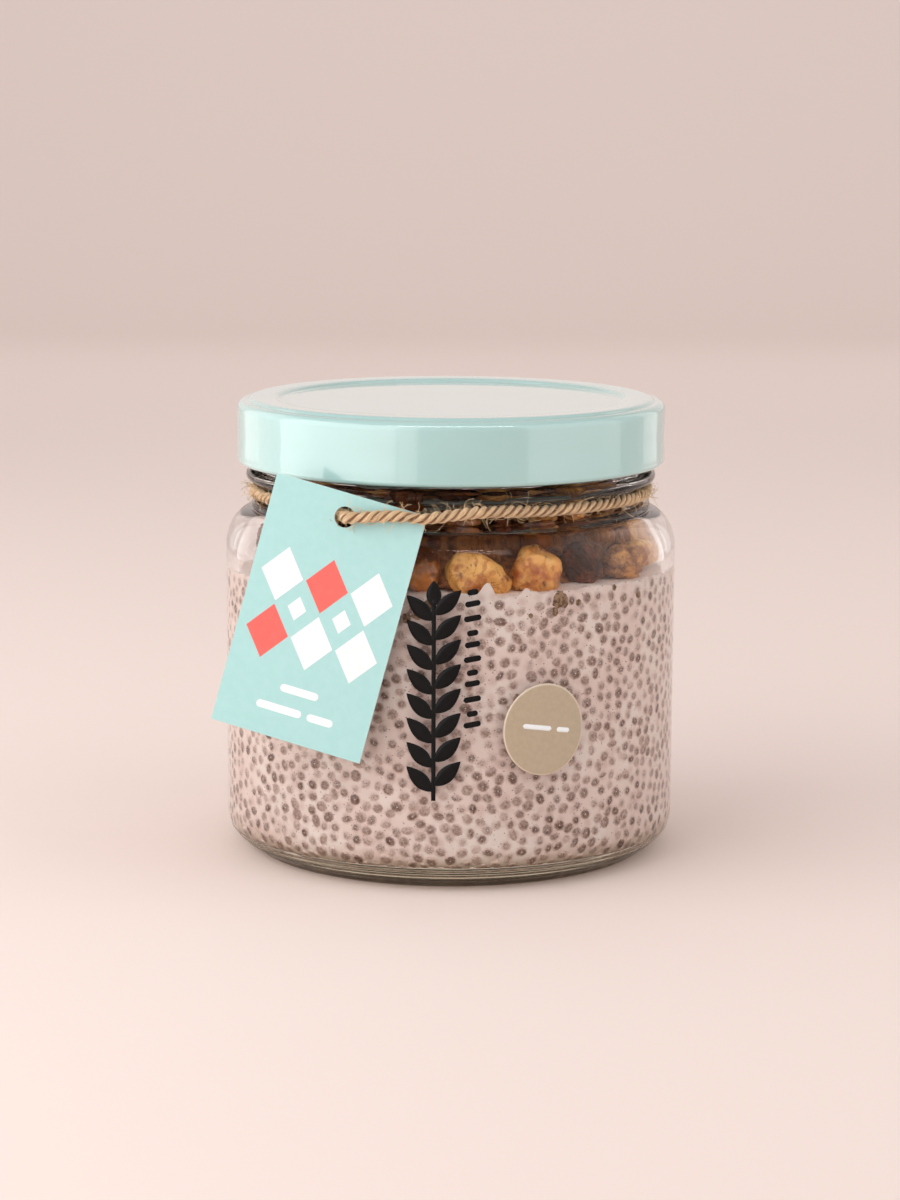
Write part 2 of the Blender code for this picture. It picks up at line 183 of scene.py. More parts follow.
# Camera
CAMERA_PLACE = Vector((-0.0000445, -0.621649, 0.156885))
CAMERA_PITCH = 0.171683
CAMERA_ROLL = 0.00416682
CAMERA_LENS = 93.605


def srgb(red, green, blue):
    """A colour given in 0-255 display values, as the shader wants it."""
    values = []
    for part in (red, green, blue):
        part /= 255.0
        values.append(part / 12.92 if part <= 0.04045 else ((part + 0.055) / 1.055) ** 2.4)
    return (*values, 1.0)


class TreeMaker:
    """Short ways to add nodes to a tree."""

    def node(self, kind, inputs=None, **settings):
        made = self.tree.nodes.new(kind)
        for name, value in settings.items():
            setattr(made, name, value)
        for name, value in (inputs or {}).items():
            if isinstance(value, bpy.types.NodeSocket):
                self.tree.links.new(value, made.inputs[name])
            else:
                made.inputs[name].default_value = value
        return made

    def math(self, operation, first, second=0.0):
        return self.node("ShaderNodeMath", {0: first, 1: second}, operation=operation).outputs[0]

    def plus(self, first, second):
        return self.math("ADD", first, second)

    def minus(self, first, second):
        return self.math("SUBTRACT", first, second)

    def times(self, first, second):
        return self.math("MULTIPLY", first, second)


class Finish(TreeMaker):
    """A Principled material with short ways to grow its node tree."""

    def __init__(self, name, colour, roughness, **sockets):
        self.material = bpy.data.materials.new(name)
        self.material.use_nodes = True
        self.tree = self.material.node_tree
        self.shader = self.tree.nodes["Principled BSDF"]
        self.shader.inputs["Base Color"].default_value = colour
        self.shader.inputs["Roughness"].default_value = roughness
        for socket, value in sockets.items():
            self.shader.inputs[socket.replace("_", " ")].default_value = value
        self.place = self.node("ShaderNodeTexCoord").outputs["Object"]

    def noise(self, scale, detail=3.0, roughness=0.55, place=None):
        inputs = {"Vector": place or self.place, "Scale": scale, "Detail": detail, "Roughness": roughness}
        return self.node("ShaderNodeTexNoise", inputs).outputs[0]

    def cells(self, scale):
        """How far a point lies from the nearest of many scattered dots."""
        return self.node("ShaderNodeTexVoronoi", {"Vector": self.place, "Scale": scale}).outputs[0]

    def attribute(self, name):
        return self.node("ShaderNodeAttribute", attribute_name=name).outputs["Fac"]

    def heights(self):
        return self.node("ShaderNodeSeparateXYZ", {0: self.place}).outputs[2]

    def band(self, value, low, high, start=0.0, end=1.0):
        """A smooth step from start to end while the value goes from low to high."""
        inputs = {"Value": value, "From Min": low, "From Max": high, "To Min": start, "To Max": end}
        return self.node("ShaderNodeMapRange", inputs, interpolation_type="SMOOTHSTEP").outputs[0]

    def blend(self, factor, first, second):
        return self.node("ShaderNodeMix", {0: factor, 6: first, 7: second}, data_type="RGBA").outputs[2]

    def paint(self, colour):
        self.tree.links.new(colour, self.shader.inputs["Base Color"])

    def bump(self, height, distance, strength):
        inputs = {"Height": height, "Distance": distance, "Strength": strength}
        self.tree.links.new(self.node("ShaderNodeBump", inputs).outputs[0], self.shader.inputs["Normal"])


def evaluated_mesh(carrier):
    """The plain mesh that an object comes to. The object goes, with its modifiers."""
    bpy.context.view_layer.update()
    depsgraph = bpy.context.evaluated_depsgraph_get()
    mesh = bpy.data.meshes.new_from_object(carrier.evaluated_get(depsgraph))
    carrier.modifiers.clear()
    bpy.data.objects.remove(carrier)
    return mesh


class Grower(TreeMaker):
    """A Geometry Nodes tree with named inputs, run once on a mesh to make a plain mesh."""

    KINDS = {float: "NodeSocketFloat", int: "NodeSocketInt", bpy.types.Material: "NodeSocketMaterial"}

    def __init__(self, name, **inputs):
        self.tree = bpy.data.node_groups.new(name, "GeometryNodeTree")
        self.values = inputs
        self.identifiers = {}
        for way in ("INPUT", "OUTPUT"):
            self.tree.interface.new_socket("Geometry", in_out=way, socket_type="NodeSocketGeometry")
        for label, value in inputs.items():
            kind = self.KINDS[type(value)]
            socket = self.tree.interface.new_socket(label, in_out="INPUT", socket_type=kind)
            self.identifiers[label] = socket.identifier
        self.start = self.node("NodeGroupInput").outputs
        self.end = self.node("NodeGroupOutput")

    def keep(self, geometry, label, value, kind="FLOAT"):
        """Store a value under a name on the geometry's points."""
        made = self.node("GeometryNodeStoreNamedAttribute", {"Geometry": geometry, "Name": label},
                         data_type=kind, domain="POINT")
        self.tree.links.new(value, made.inputs["Value"])
        return made.outputs[0]

    def kept(self, label, kind="FLOAT"):
        return self.node("GeometryNodeInputNamedAttribute", {"Name": label}, data_type=kind).outputs[0]

    def draw(self, low, high, seed):
        """A random number for each point."""
        inputs = {2: low, 3: high, "Seed": seed}
        return self.node("FunctionNodeRandomValue", inputs, data_type="FLOAT").outputs[1]

    def draw_vector(self, low, high, seed):
        """Three random numbers for each point."""
        inputs = {0: low, 1: high, "Seed": seed}
        return self.node("FunctionNodeRandomValue", inputs, data_type="FLOAT_VECTOR").outputs[0]

    def scattered(self):
        """Points spread evenly over the surface, at least the tree's spacing apart."""
        inputs = {"Mesh": self.start["Geometry"], "Distance Min": self.start["spacing"],
                  "Density Max": MOST_POINTS, "Seed": self.start["seed"]}
        return self.node("GeometryNodeDistributePointsOnFaces", inputs, distribute_method="POISSON")

    def heights(self):
        place = self.node("GeometryNodeInputPosition").outputs[0]
        return self.node("ShaderNodeSeparateXYZ", {0: place}).outputs[2]

    def turned(self, rotation, low, high, seed):
        """A rotation turned further about its own axes, by a random amount for each point."""
        return self.node("FunctionNodeRotateRotation",
                         {"Rotation": rotation, "Rotate By": self.draw_vector(low, high, seed)},
                         rotation_space="LOCAL").outputs[0]

    def copied(self, points, shape, rotation, least, most, seed):
        """A copy of the shape on each point, in a random size, made real and given its finish."""
        copies = self.node("GeometryNodeInstanceOnPoints",
                           {"Points": points, "Instance": shape, "Rotation": rotation,
                            "Scale": self.draw_vector(least, most, seed)})
        self.realized(copies.outputs[0])

    def realized(self, geometry):
        """End the tree: instances made real, and the finish set."""
        real = self.node("GeometryNodeRealizeInstances", {0: geometry}).outputs[0]
        dressed = self.node("GeometryNodeSetMaterial", {"Geometry": real, "Material": self.start["finish"]})
        self.tree.links.new(dressed.outputs[0], self.end.inputs[0])

    def grow(self, name, base):
        """Run the tree on a mesh and return what it makes as a mesh of its own."""
        carrier = bpy.data.objects.new(name + "_base", base)
        bpy.context.scene.collection.objects.link(carrier)
        modifier = carrier.modifiers.new("grow", "NODES")
        modifier.node_group = self.tree
        for label, value in self.values.items():
            modifier[self.identifiers[label]] = value
        mesh = evaluated_mesh(carrier)
        mesh.name = name
        return mesh


def put(name, mesh, *finishes):
    """A finished object at the origin."""
    mesh.name = name
    made = bpy.data.objects.new(name, mesh)
    bpy.context.scene.collection.objects.link(made)
    if finishes:
        mesh.materials.clear()
        for item in finishes:
            mesh.materials.append(item)
    return made


def as_mesh(name, points, faces):
    mesh = bpy.data.meshes.new(name)
    mesh.from_pydata([tuple(point) for point in points], [], [tuple(face) for face in faces])
    mesh.update()
    mesh.shade_smooth()
    return mesh


def with_thickness(mesh, thickness):
    """The mesh given a wall inwards from its face."""
    shell = put(mesh.name, mesh)
    solid = shell.modifiers.new("thickness", "SOLIDIFY")
    solid.thickness = thickness
    solid.offset = -1.0
    return evaluated_mesh(shell)


def set_values(mesh, label, values):
    """Keep one number a vertex under a name, for the materials."""
    made = mesh.attributes.new(label, "FLOAT", "POINT")
    made.data.foreach_set("value", np.asarray(values, np.float32))


def arc(centre_r, centre_z, reach, rise, start, end, count):
    """Points of an elliptical arc in the (radius, height) plane, angles from the outward direction."""
    points = []
    for i in range(count):
        angle = start + (end - start) * i / (count - 1)
        points.append((centre_r + reach * math.cos(angle), centre_z + rise * math.sin(angle)))
    return points


def divided(path, longest):
    """The path with its long edges cut into short ones."""
    points = [path[0]]
    for (r0, z0), (r1, z1) in zip(path, path[1:]):
        parts = max(1, math.ceil(math.hypot(r1 - r0, z1 - z0) / longest))
        for i in range(1, parts + 1):
            points.append((r0 + (r1 - r0) * i / parts, z0 + (z1 - z0) * i / parts))
    return points


def curve_point(a, b, c, d, t):
    """A point of the smooth curve through four points, a part t of the way from b to c."""
    return 0.5 * (2 * b + (c - a) * t + (2 * a - 5 * b + 4 * c - d) * t * t
                  + (3 * b - a - 3 * c + d) * t ** 3)


def smoothed(path, parts):
    """A smooth curve through the points of an open path."""
    points = []
    for i in range(len(path) - 1):
        a, b, c, d = (Vector(path[min(max(i + k, 0), len(path) - 1)]) for k in (-1, 0, 1, 2))
        points += [tuple(curve_point(a, b, c, d, j / parts)) for j in range(parts)]
    return points + [tuple(path[-1])]


def turned(name, profile, steps):
    """Turn a profile that runs down its outer side into a closed mesh."""
    angles = [2 * math.pi * i / steps for i in range(steps)]
    turn = [(math.cos(angle), math.sin(angle)) for angle in angles]
    points = []
    faces = []
    last = None
    for radius, height in profile:
        first = len(points)
        if radius < 1e-7:
            points.append((0.0, 0.0, height))
            ring = [first] * steps
        else:
            points.extend((radius * c, radius * s, height) for c, s in turn)
            ring = list(range(first, first + steps))
        if last:
            for i in range(steps):
                j = (i + 1) % steps
                faces.append(tuple(dict.fromkeys((last[i], ring[i], ring[j], last[j]))))
        last = ring
    return as_mesh(name, points, faces)


def wall_point(radius, angle, height):
    """A point round the jar."""
    return Vector((radius * math.sin(angle), -radius * math.cos(angle), height))


def inner_wall(count=18):
    """The glass's inner side, from the middle of its floor up to the neck."""
    heel = arc(INNER_R - INNER_HEEL_REACH, FLOOR_Z + INNER_HEEL_RISE, INNER_HEEL_REACH,
               INNER_HEEL_RISE, -math.pi / 2, 0, count)
    shoulder = arc(NECK_INNER_R, INNER_SHOULDER_Z, INNER_R - NECK_INNER_R, INNER_SHOULDER_RISE,
                   0, math.pi / 2, count)
    return [(0.0, FLOOR_Z)] + heel + shoulder


def ringed_heel():
    """The rounded foot of the glass, with low rings pressed round its lower part."""
    points = []
    for i in range(HEEL_POINTS):
        angle = HEEL_END * i / (HEEL_POINTS - 1)
        turns = max(0.0, angle - FOOT_RING_START) / FOOT_RING_PITCH
        ring = FOOT_RING_HEIGHT * math.sin(2 * math.pi * turns)
        points.append((BODY_R - HEEL_REACH + (HEEL_REACH + ring) * math.cos(angle),
                       HEEL_TOP_Z - (HEEL_DROP + ring) * math.sin(angle)))
    return points


def outer_wall():
    """The glass's outer side, from below the lip down to the middle of its base."""
    finish = divided([(FINISH_R, RIM_Z - LIP), (FINISH_R, BEAD_Z + 1.75 * MM)], 0.3 * MM)
    bead = arc(BEAD_R - 0.95 * MM, BEAD_Z, 0.95 * MM, 1.05 * MM, math.radians(80), math.radians(-80), 12)
    waist = smoothed([bead[-1], (38.6 * MM, BEAD_Z - 1.5 * MM), (37.85 * MM, GROOVE_Z + 1.05 * MM),
                      (GROOVE_R, GROOVE_Z), (37.85 * MM, GROOVE_Z - 1.05 * MM),
                      (38.5 * MM, BAND_Z + 1.0 * MM)], 4)
    band = arc(BAND_R - 0.8 * MM, BAND_Z, 0.8 * MM, 0.85 * MM, math.radians(75), math.radians(-60), 10)
    shoulder = arc(BODY_R - SHOULDER_REACH, SHOULDER_Z, SHOULDER_REACH, SHOULDER_RISE,
                   math.radians(86), 0, 22)
    heel = ringed_heel()
    foot = smoothed([heel[-1], (40.6 * MM, 1.0 * MM), (40.1 * MM, 0.35 * MM), (39.3 * MM, 0.0),
                     (37.4 * MM, 0.0), (36.0 * MM, 0.35 * MM), (33.0 * MM, 0.75 * MM),
                     (22.0 * MM, PUSH_UP)], 4)
    upper = finish + [(39.0 * MM, BEAD_Z + 1.35 * MM)] + bead + waist[1:] + band
    return upper + shoulder + heel + foot[1:] + [(0.0, PUSH_UP)]


def make_glass(finish):
    """The glass as one closed wall, with the threads of its finish raised."""
    lip = arc(NECK_INNER_R + LIP, RIM_Z - LIP, LIP, LIP, math.pi, 0, 14)
    profile = inner_wall() + lip + outer_wall()[1:]
    mesh = turned("glass_jar", [(radius, max(0.0, height)) for radius, height in profile], GLASS_STEPS)
    for vertex in mesh.vertices:
        x, y, z = vertex.co
        radius = math.hypot(x, y)
        if radius < FINISH_R - 0.2 * MM or not BEAD_Z + 1.2 * MM < z < RIM_Z - LIP:
            continue
        angle = (math.atan2(x, -y) - THREAD_FIRST) % (2 * math.pi / THREAD_STARTS)
        along = angle / THREAD_SPAN
        if along < 1:
            middle = THREAD_LOW_Z + THREAD_RISE * along
            ends = min(1.0, along / 0.06, (1 - along) / 0.1)
            near = max(0.0, 1 - ((z - middle) / THREAD_HALF_WIDTH) ** 2)
            grown = (radius + THREAD_HEIGHT * near ** 0.7 * ends) / radius
            vertex.co = (x * grown, y * grown, z)
    mesh.update()
    return put("glass_jar", mesh, finish)


def lid_profile():
    """The lid's sheet: down its outer side to the curl, and back up its inner side."""
    edge = arc(LID_R - LID_EDGE_ROUND, LID_TOP_Z - 0.6 * MM - LID_EDGE_ROUND, LID_EDGE_ROUND,
               LID_EDGE_ROUND, math.radians(84), 0, 14)
    curl = arc(LID_R - LID_CURL, LID_BOTTOM_Z + LID_CURL, LID_CURL, LID_CURL, math.radians(12),
               -math.radians(250), 20)
    side = smoothed([edge[-1], (LID_R, 86.0 * MM), (LID_R - 0.06 * MM, 83.0 * MM), (LID_R, 80.2 * MM),
                     curl[0]], 5)
    top = smoothed([(LID_PANEL_R - 0.6 * MM, LID_PANEL_Z), (LID_PANEL_R, LID_PANEL_Z),
                    (LID_PANEL_R + 0.55 * MM, LID_PANEL_Z + 0.1 * MM),
                    (LID_PANEL_R + 1.1 * MM, LID_PANEL_Z + 0.45 * MM),
                    (LID_PANEL_R + 1.9 * MM, LID_TOP_Z - 0.12 * MM), (37.6 * MM, LID_TOP_Z - 0.02 * MM),
                    (39.3 * MM, LID_TOP_Z), (40.1 * MM, LID_TOP_Z - 0.16 * MM),
                    (40.7 * MM, LID_TOP_Z - 0.62 * MM), edge[0]], 4)
    outside = [(0.0, LID_PANEL_Z), (LID_PANEL_R * 0.6, LID_PANEL_Z)] + top + edge[1:] + side[1:] + curl[1:]
    inside_r = LID_R - LID_SHEET
    under_top = LID_TOP_Z - LID_SHEET
    under_panel = LID_PANEL_Z - LID_SHEET
    inside = [(inside_r, LID_BOTTOM_Z + 2.3 * MM), (inside_r, 87.6 * MM), (inside_r - 1.0 * MM, 88.95 * MM),
              (40.2 * MM, LID_TOP_Z - 1.3 * MM), (39.2 * MM, under_top), (36.2 * MM, under_top),
              (LID_PANEL_R + 0.2 * MM, under_panel), (0.0, under_panel)]
    return outside + inside


def make_lid(paint, lacquer):
    """The lid, and the ring of sealing compound inside its edge."""
    profile = [(radius, min(LID_TOP_Z, height)) for radius, height in lid_profile()]
    mesh = turned("mint_lid", profile, LID_STEPS)
    mesh.set_sharp_from_angle(angle=math.radians(50))
    lid = put("mint_lid", mesh, paint)
    seal = arc(37.5 * MM, LID_TOP_Z - 0.75 * MM, 1.9 * MM, 0.95 * MM, math.radians(20), math.radians(-200),
               14)
    mesh = turned("lid_seal", seal + [seal[0]], 128)
    return lid, put("lid_seal", mesh, lacquer)


def level_at(x, y):
    """How high the pudding stands at a point inside the jar."""
    wave = noise.noise(Vector((x * 90, y * 90, 3.7)))
    front = max(0.0, -y / BODY_R)
    return PUDDING_LEVEL + LEVEL_WAVE * wave + LEVEL_FRONT_RISE * front


# Where the pudding clings to the glass: angle and width in degrees, height in millimetres
CLINGS = [(9.6, 1.5, 2.3), (8.0, 1.0, 0.9), (19.2, 1.2, 1.6), (21.5, 1.4, 0.8), (26.0, 2.2, 0.7),
          (-3.0, 2.6, 0.9), (-11.0, 3.0, -1.9), (14.0, 2.2, -0.5), (3.0, 1.4, 0.5), (-17.0, 2.0, 0.6),
          (38.0, 5.0, 0.4)]


def rim_height(angle):
    """How high the pudding stands on the glass."""
    x = INNER_R * math.sin(angle)
    y = -INNER_R * math.cos(angle)
    height = level_at(x, y) + RIM_WAVE * noise.noise(Vector((x * 420, y * 420, 1.3)))
    height += RIM_RIPPLE * noise.noise(Vector((x * 1300, y * 1300, 5.3)))
    degrees = math.degrees(math.atan2(math.sin(angle), math.cos(angle)))
    for middle, width, rise in CLINGS:
        height += rise * MM * math.exp(-((degrees - middle) / width) ** 2)
    return height


def make_pudding(finish):
    """The pudding from its uneven top to the glass floor, with its sides just inside the glass."""
    outer = INNER_R + WET
    top = [(INNER_R * part, PUDDING_LEVEL) for part in (0.0, 0.2, 0.4, 0.6, 0.75, 0.87, 0.95, 0.985)]
    heel = arc(INNER_R - INNER_HEEL_REACH, FLOOR_Z + INNER_HEEL_RISE, INNER_HEEL_REACH + WET,
               INNER_HEEL_RISE + WET, 0, -math.pi / 2, 20)
    side = divided([(outer, PUDDING_LEVEL), heel[0]], PUDDING_ROW)
    base = [(INNER_R * part, FLOOR_Z - WET) for part in (0.82, 0.74, 0.64, 0.52, 0.38, 0.2)]
    mesh = turned("pudding_body", top + side + heel[1:] + base + [(0.0, FLOOR_Z - WET)], PUDDING_STEPS)
    low = heel[0][1]
    heights = {}
    for vertex in mesh.vertices:
        x, y, z = vertex.co
        radius = math.hypot(x, y)
        if radius > outer - 0.01 * MM and z > low:
            angle = math.atan2(x, -y)
            key = round(angle, 4)
            if key not in heights:
                heights[key] = rim_height(angle)
            vertex.co.z = low + (heights[key] - low) * (z - low) / (PUDDING_LEVEL - low)
        elif z > PUDDING_LEVEL - 0.01 * MM:
            edge = max(0.0, radius / INNER_R - 0.94) / 0.045
            angle = math.atan2(x, -y)
            vertex.co.z = level_at(x, y) + (rim_height(angle) - level_at(x, y)) * min(1.0, edge) * 0.7
    mesh.update()
    return put("pudding_body", mesh, finish)


def seed_places(pudding):
    """Points spread evenly over the pudding's sides and base, each with its sink and its tone."""
    grower = Grower("SeedPlaces", spacing=SEED_SPACING, seed=7, top=SEED_TOP_Z)
    spread = grower.scattered()
    low_enough = grower.math("LESS_THAN", grower.heights(), grower.start["top"])
    points = grower.keep(spread.outputs["Points"], "sink", grower.draw(0.0, 1.0, 3))
    points = grower.keep(points, "tone", grower.draw(0.0, 1.0, 5))
    points = grower.keep(points, "facing", spread.outputs["Normal"], "FLOAT_VECTOR")
    made = grower.node("GeometryNodePointsToVertices", {0: points, "Selection": low_enough})
    grower.tree.links.new(made.outputs[0], grower.end.inputs[0])
    return grower.grow("seed_places", pudding.data.copy())


def make_seeds(places, finish):
    """A swollen seed at every place, its rounded side out, sunk more or less into the pudding."""
    grower = Grower("ChiaSeeds", long=SEED_HALF.x, wide=SEED_HALF.y, deep=SEED_HALF.z,
                    least=SEED_LEAST_DEPTH, more=SEED_MORE_DEPTH, finish=finish)
    start = grower.start
    ball = grower.node("GeometryNodeMeshUVSphere", {"Segments": 8, "Rings": 5, "Radius": 1.0})
    ball = grower.keep(ball.outputs[0], "cap", grower.heights())
    half = grower.node("ShaderNodeCombineXYZ", {0: start["long"], 1: start["wide"], 2: start["deep"]})
    shape = grower.node("GeometryNodeTransform", {"Geometry": ball, "Scale": half.outputs[0]})
    facing = grower.kept("facing", "FLOAT_VECTOR")
    depth = grower.plus(grower.times(grower.kept("sink"), start["more"]), start["least"])
    marked = grower.keep(start["Geometry"], "depth", grower.times(depth, 1.0 / MM))
    inward = grower.node("ShaderNodeVectorMath", {0: facing, "Scale": grower.times(depth, -1.0)},
                         operation="SCALE")
    moved = grower.node("GeometryNodeSetPosition", {"Geometry": marked, "Offset": inward.outputs[0]})
    outward = grower.node("FunctionNodeAlignRotationToVector", {"Vector": facing}, axis="Z")
    turn = grower.turned(outward.outputs[0], (-0.08, -0.08, 0.0), (0.08, 0.08, 6.28), 11)
    grower.copied(moved.outputs[0], shape.outputs[0], turn, (0.58, 0.66, 1.0), (1.14, 1.12, 1.0), 13)
    mesh = grower.grow("chia_seeds", places)
    mesh.shade_smooth()
    return put("chia_seeds", mesh)


def shade_round_seeds(pudding, places):
    """Keep on each pudding vertex how near a seed lies under the surface."""
    sinks = np.zeros(len(places.vertices), np.float32)
    places.attributes["sink"].data.foreach_get("value", sinks)
    tree = KDTree(len(places.vertices))
    for i, vertex in enumerate(places.vertices):
        tree.insert(vertex.co, i)
    tree.balance()
    shades = []
    for vertex in pudding.data.vertices:
        shade = 0.0
        for _, index, distance in tree.find_range(vertex.co, SHADE_REACH):
            reach = 1.0 - distance / SHADE_REACH
            shade = max(shade, reach * reach * (3 - 2 * reach) * (1.0 - 0.35 * float(sinks[index])))
        shades.append(shade)
    set_values(pudding.data, "near_seed", shades)


def ball_points(subdivisions):
    """Directions and faces of an icosphere."""
    bpy.ops.mesh.primitive_ico_sphere_add(subdivisions=subdivisions, radius=1.0)
    ball = bpy.context.object
    points = [vertex.co.normalized() for vertex in ball.data.vertices]
    faces = [tuple(polygon.vertices) for polygon in ball.data.polygons]
    bpy.data.objects.remove(ball)
    return points, faces


BALLS = {}


def lump(centre, half, turn, form, seed, subdivisions=4):
    """Points and faces of one uneven piece: a ball reshaped by a form and set in its place."""
    if subdivisions not in BALLS:
        BALLS[subdivisions] = ball_points(subdivisions)
    directions, faces = BALLS[subdivisions]
    spin = Euler([math.radians(angle) for angle in turn]).to_matrix()
    shift = Vector((seed * 1.37, seed * 2.11, seed * 0.73))
    points = []
    for direction in directions:
        size = form(direction, shift)
        place = Vector((direction.x * half.x, direction.y * half.y, direction.z * half.z)) * size
        points.append(centre + spin @ place)
    return points, faces


def facets(direction, shift, count, depth, hardness=14):
    """How far a ball reaches in a direction after flat cuts, softened at their edges."""
    total = 1.0
    for i in range(count):
        normal = cut_normal(shift, i)
        cut = 1.0 - depth * (0.45 + 0.55 * abs(math.sin(i * 2.3 + shift.x)))
        facing = direction.dot(normal)
        if facing > 0.2:
            total += (facing / cut) ** hardness
    return total ** (-1 / hardness)


def cut_normal(shift, index):
    """The direction that one of a lump's flat cuts faces."""
    angle = index * GOLDEN_ANGLE + shift.x
    height = math.sin(index * 1.9 + shift.y) * 0.95
    flat = math.sqrt(1 - height * height)
    return Vector((flat * math.cos(angle), flat * math.sin(angle), height))


def nut_form(direction, shift):
    size = facets(direction, shift, 9, 0.24, 24)
    size *= 1.0 + 0.07 * noise.noise(direction * 2.2 + shift)
    size -= 0.035 * max(0.0, noise.noise(direction * 3.4 - shift)) ** 0.6
    size += 0.03 * noise.noise(direction * 6.5 + shift)
    return size + 0.012 * noise.noise(direction * 17 + shift)


def chopped_form(direction, shift):
    size = facets(direction, shift, 7, 0.38, 22)
    size += 0.05 * noise.noise(direction * 4 + shift)
    size += 0.02 * noise.noise(direction * 11 + shift)
    return size + 0.01 * noise.noise(direction * 26 + shift)


def raisin_form(direction, shift):
    along = Vector((direction.x * 1.6, direction.y * 3.4, direction.z * 3.4))
    folds = 1 - abs(noise.noise(along + shift)) * 2.2
    fine = 1 - abs(noise.noise(direction * 6.5 + shift)) * 2
    return 0.88 + 0.2 * folds + 0.08 * fine


def fruit_form(direction, shift):
    size = facets(direction, shift, 6, 0.34)
    size += 0.09 * noise.noise(direction * 2.6 + shift)
    size += 0.08 * abs(noise.noise(direction * 6 + shift))
    return size + 0.015 * noise.noise(direction * 18 + shift)


def crumb_form(direction, shift):
    size = 0.9 + 0.2 * noise.noise(direction * 2.3 + shift)
    size += 0.2 * abs(noise.noise(direction * 5 + shift)) + 0.1 * abs(noise.noise(direction * 11 + shift))
    return size + 0.04 * noise.noise(direction * 24 + shift)


def joined(name, lumps, finish):
    """Several lumps as one piece. A lump comes as its points and faces, and its tone."""
    points = []
    faces = []
    values = []
    for (places, sides), tone in lumps:
        first = len(points)
        points.extend(places)
        faces.extend(tuple(first + i for i in side) for side in sides)
        values.extend([tone] * len(places))
    mesh = as_mesh(name, points, faces)
    set_values(mesh, "tone", values)
    return put(name, mesh, finish)


def distance_to_edge(point, start, end):
    """How far a point lies from a straight edge."""
    p = Vector(point)
    a = Vector(start)
    b = Vector(end)
    along = max(0.0, min(1.0, (p - a).dot(b - a) / max((b - a).length_squared, 1e-12)))
    return (p - a - (b - a) * along).length


def clear_radius(height, size):
    """How far from the axis a ball of this size may lie inside the glass."""
    wall = inner_wall(8) + [(NECK_INNER_R, RIM_Z)]
    radius = INNER_R - size
    while radius > 0:
        if min(distance_to_edge((radius, height), *edge) for edge in zip(wall, wall[1:])) >= size:
            return radius
        radius -= 0.2 * MM
    return 0.0


# The kinds of piece in the heap: form, half sizes along its axes as parts of its size, and share of the draw
HEAP_KINDS = {"nuts": (chopped_form, Vector((1.0, 0.9, 0.8)), 26),
              "raisins": (raisin_form, Vector((1.15, 0.75, 0.72)), 34),
              "fruits": (fruit_form, Vector((1.0, 0.9, 0.72)), 24),
              "crumbs": (crumb_form, Vector((1.0, 0.95, 0.85)), 16)}
# Rings of pieces against the glass: how many, height, least and most size, in millimetres
HEAP_RINGS = [(27, 60.6, 3.3, 4.3), (25, 64.9, 3.4, 4.6), (24, 69.2, 3.2, 4.2), (22, 72.9, 3.0, 4.2)]
HEAP_TOP_INSET = 3.4 * MM
HEAP_SIDE_INSET = 3.6 * MM
HEAP_CAP_PIECES = 34
HEAP_CAP_R = 29.0 * MM
HEAP_OVERLAP = 0.82                 # how close a piece may lie to a large one, as a part of their sizes
CRUMBLY_SIDE = (36, 66)             # angles in degrees between which the lower pieces are all crumbs
CRUMBLY_TOP_Z = 66 * MM
SUNKEN = 1.0                        # the tone that marks a crumb wetted by the pudding
# Crumbs that lie in the pudding against the glass: angle in degrees, height and half size in millimetres
SUNKEN_CRUMBS = [(28.7, 55.6, 1.9), (27.0, 53.6, 1.0), (-8.3, 54.4, 1.7), (-5.2, 55.7, 1.2),
                 (-11.0, 52.9, 1.1), (34.0, 55.0, 0.7), (20.5, 53.2, 0.5), (46.0, 56.9, 0.6),
                 (56.0, 54.6, 0.9), (-14.5, 54.9, 0.9), (97.0, 55.5, 1.5), (160.0, 56.0, 1.7),
                 (-120.0, 55.3, 1.4)]


def heap_places(draw):
    """Where the pieces of the heap lie and how big they are: rings against the glass, and a cap."""
    places = []
    for count, height, low, high in HEAP_RINGS:
        for i in range(count):
            size = draw.uniform(low, high) * MM
            angle = 2 * math.pi * (i + 0.5 * draw.random()) / count
            level = (height + draw.uniform(-0.9, 0.9)) * MM
            radius = clear_radius(level, size) - draw.uniform(0.0, 0.9) * MM
            if height > 72:
                radius -= HEAP_TOP_INSET
            elif math.sin(angle) < -0.8:
                radius -= HEAP_SIDE_INSET
            places.append((wall_point(radius, angle, level), size))
    for i in range(HEAP_CAP_PIECES):
        size = draw.uniform(3.2, 4.8) * MM
        radius = HEAP_CAP_R * math.sqrt((i + 0.5) / HEAP_CAP_PIECES)
        level = HEAP_TOP_Z - 2.6 * MM - 3.0 * MM * (radius / HEAP_CAP_R) ** 2 + draw.uniform(-0.8, 0.8) * MM
        places.append((wall_point(radius, i * GOLDEN_ANGLE, level), size))
    return places


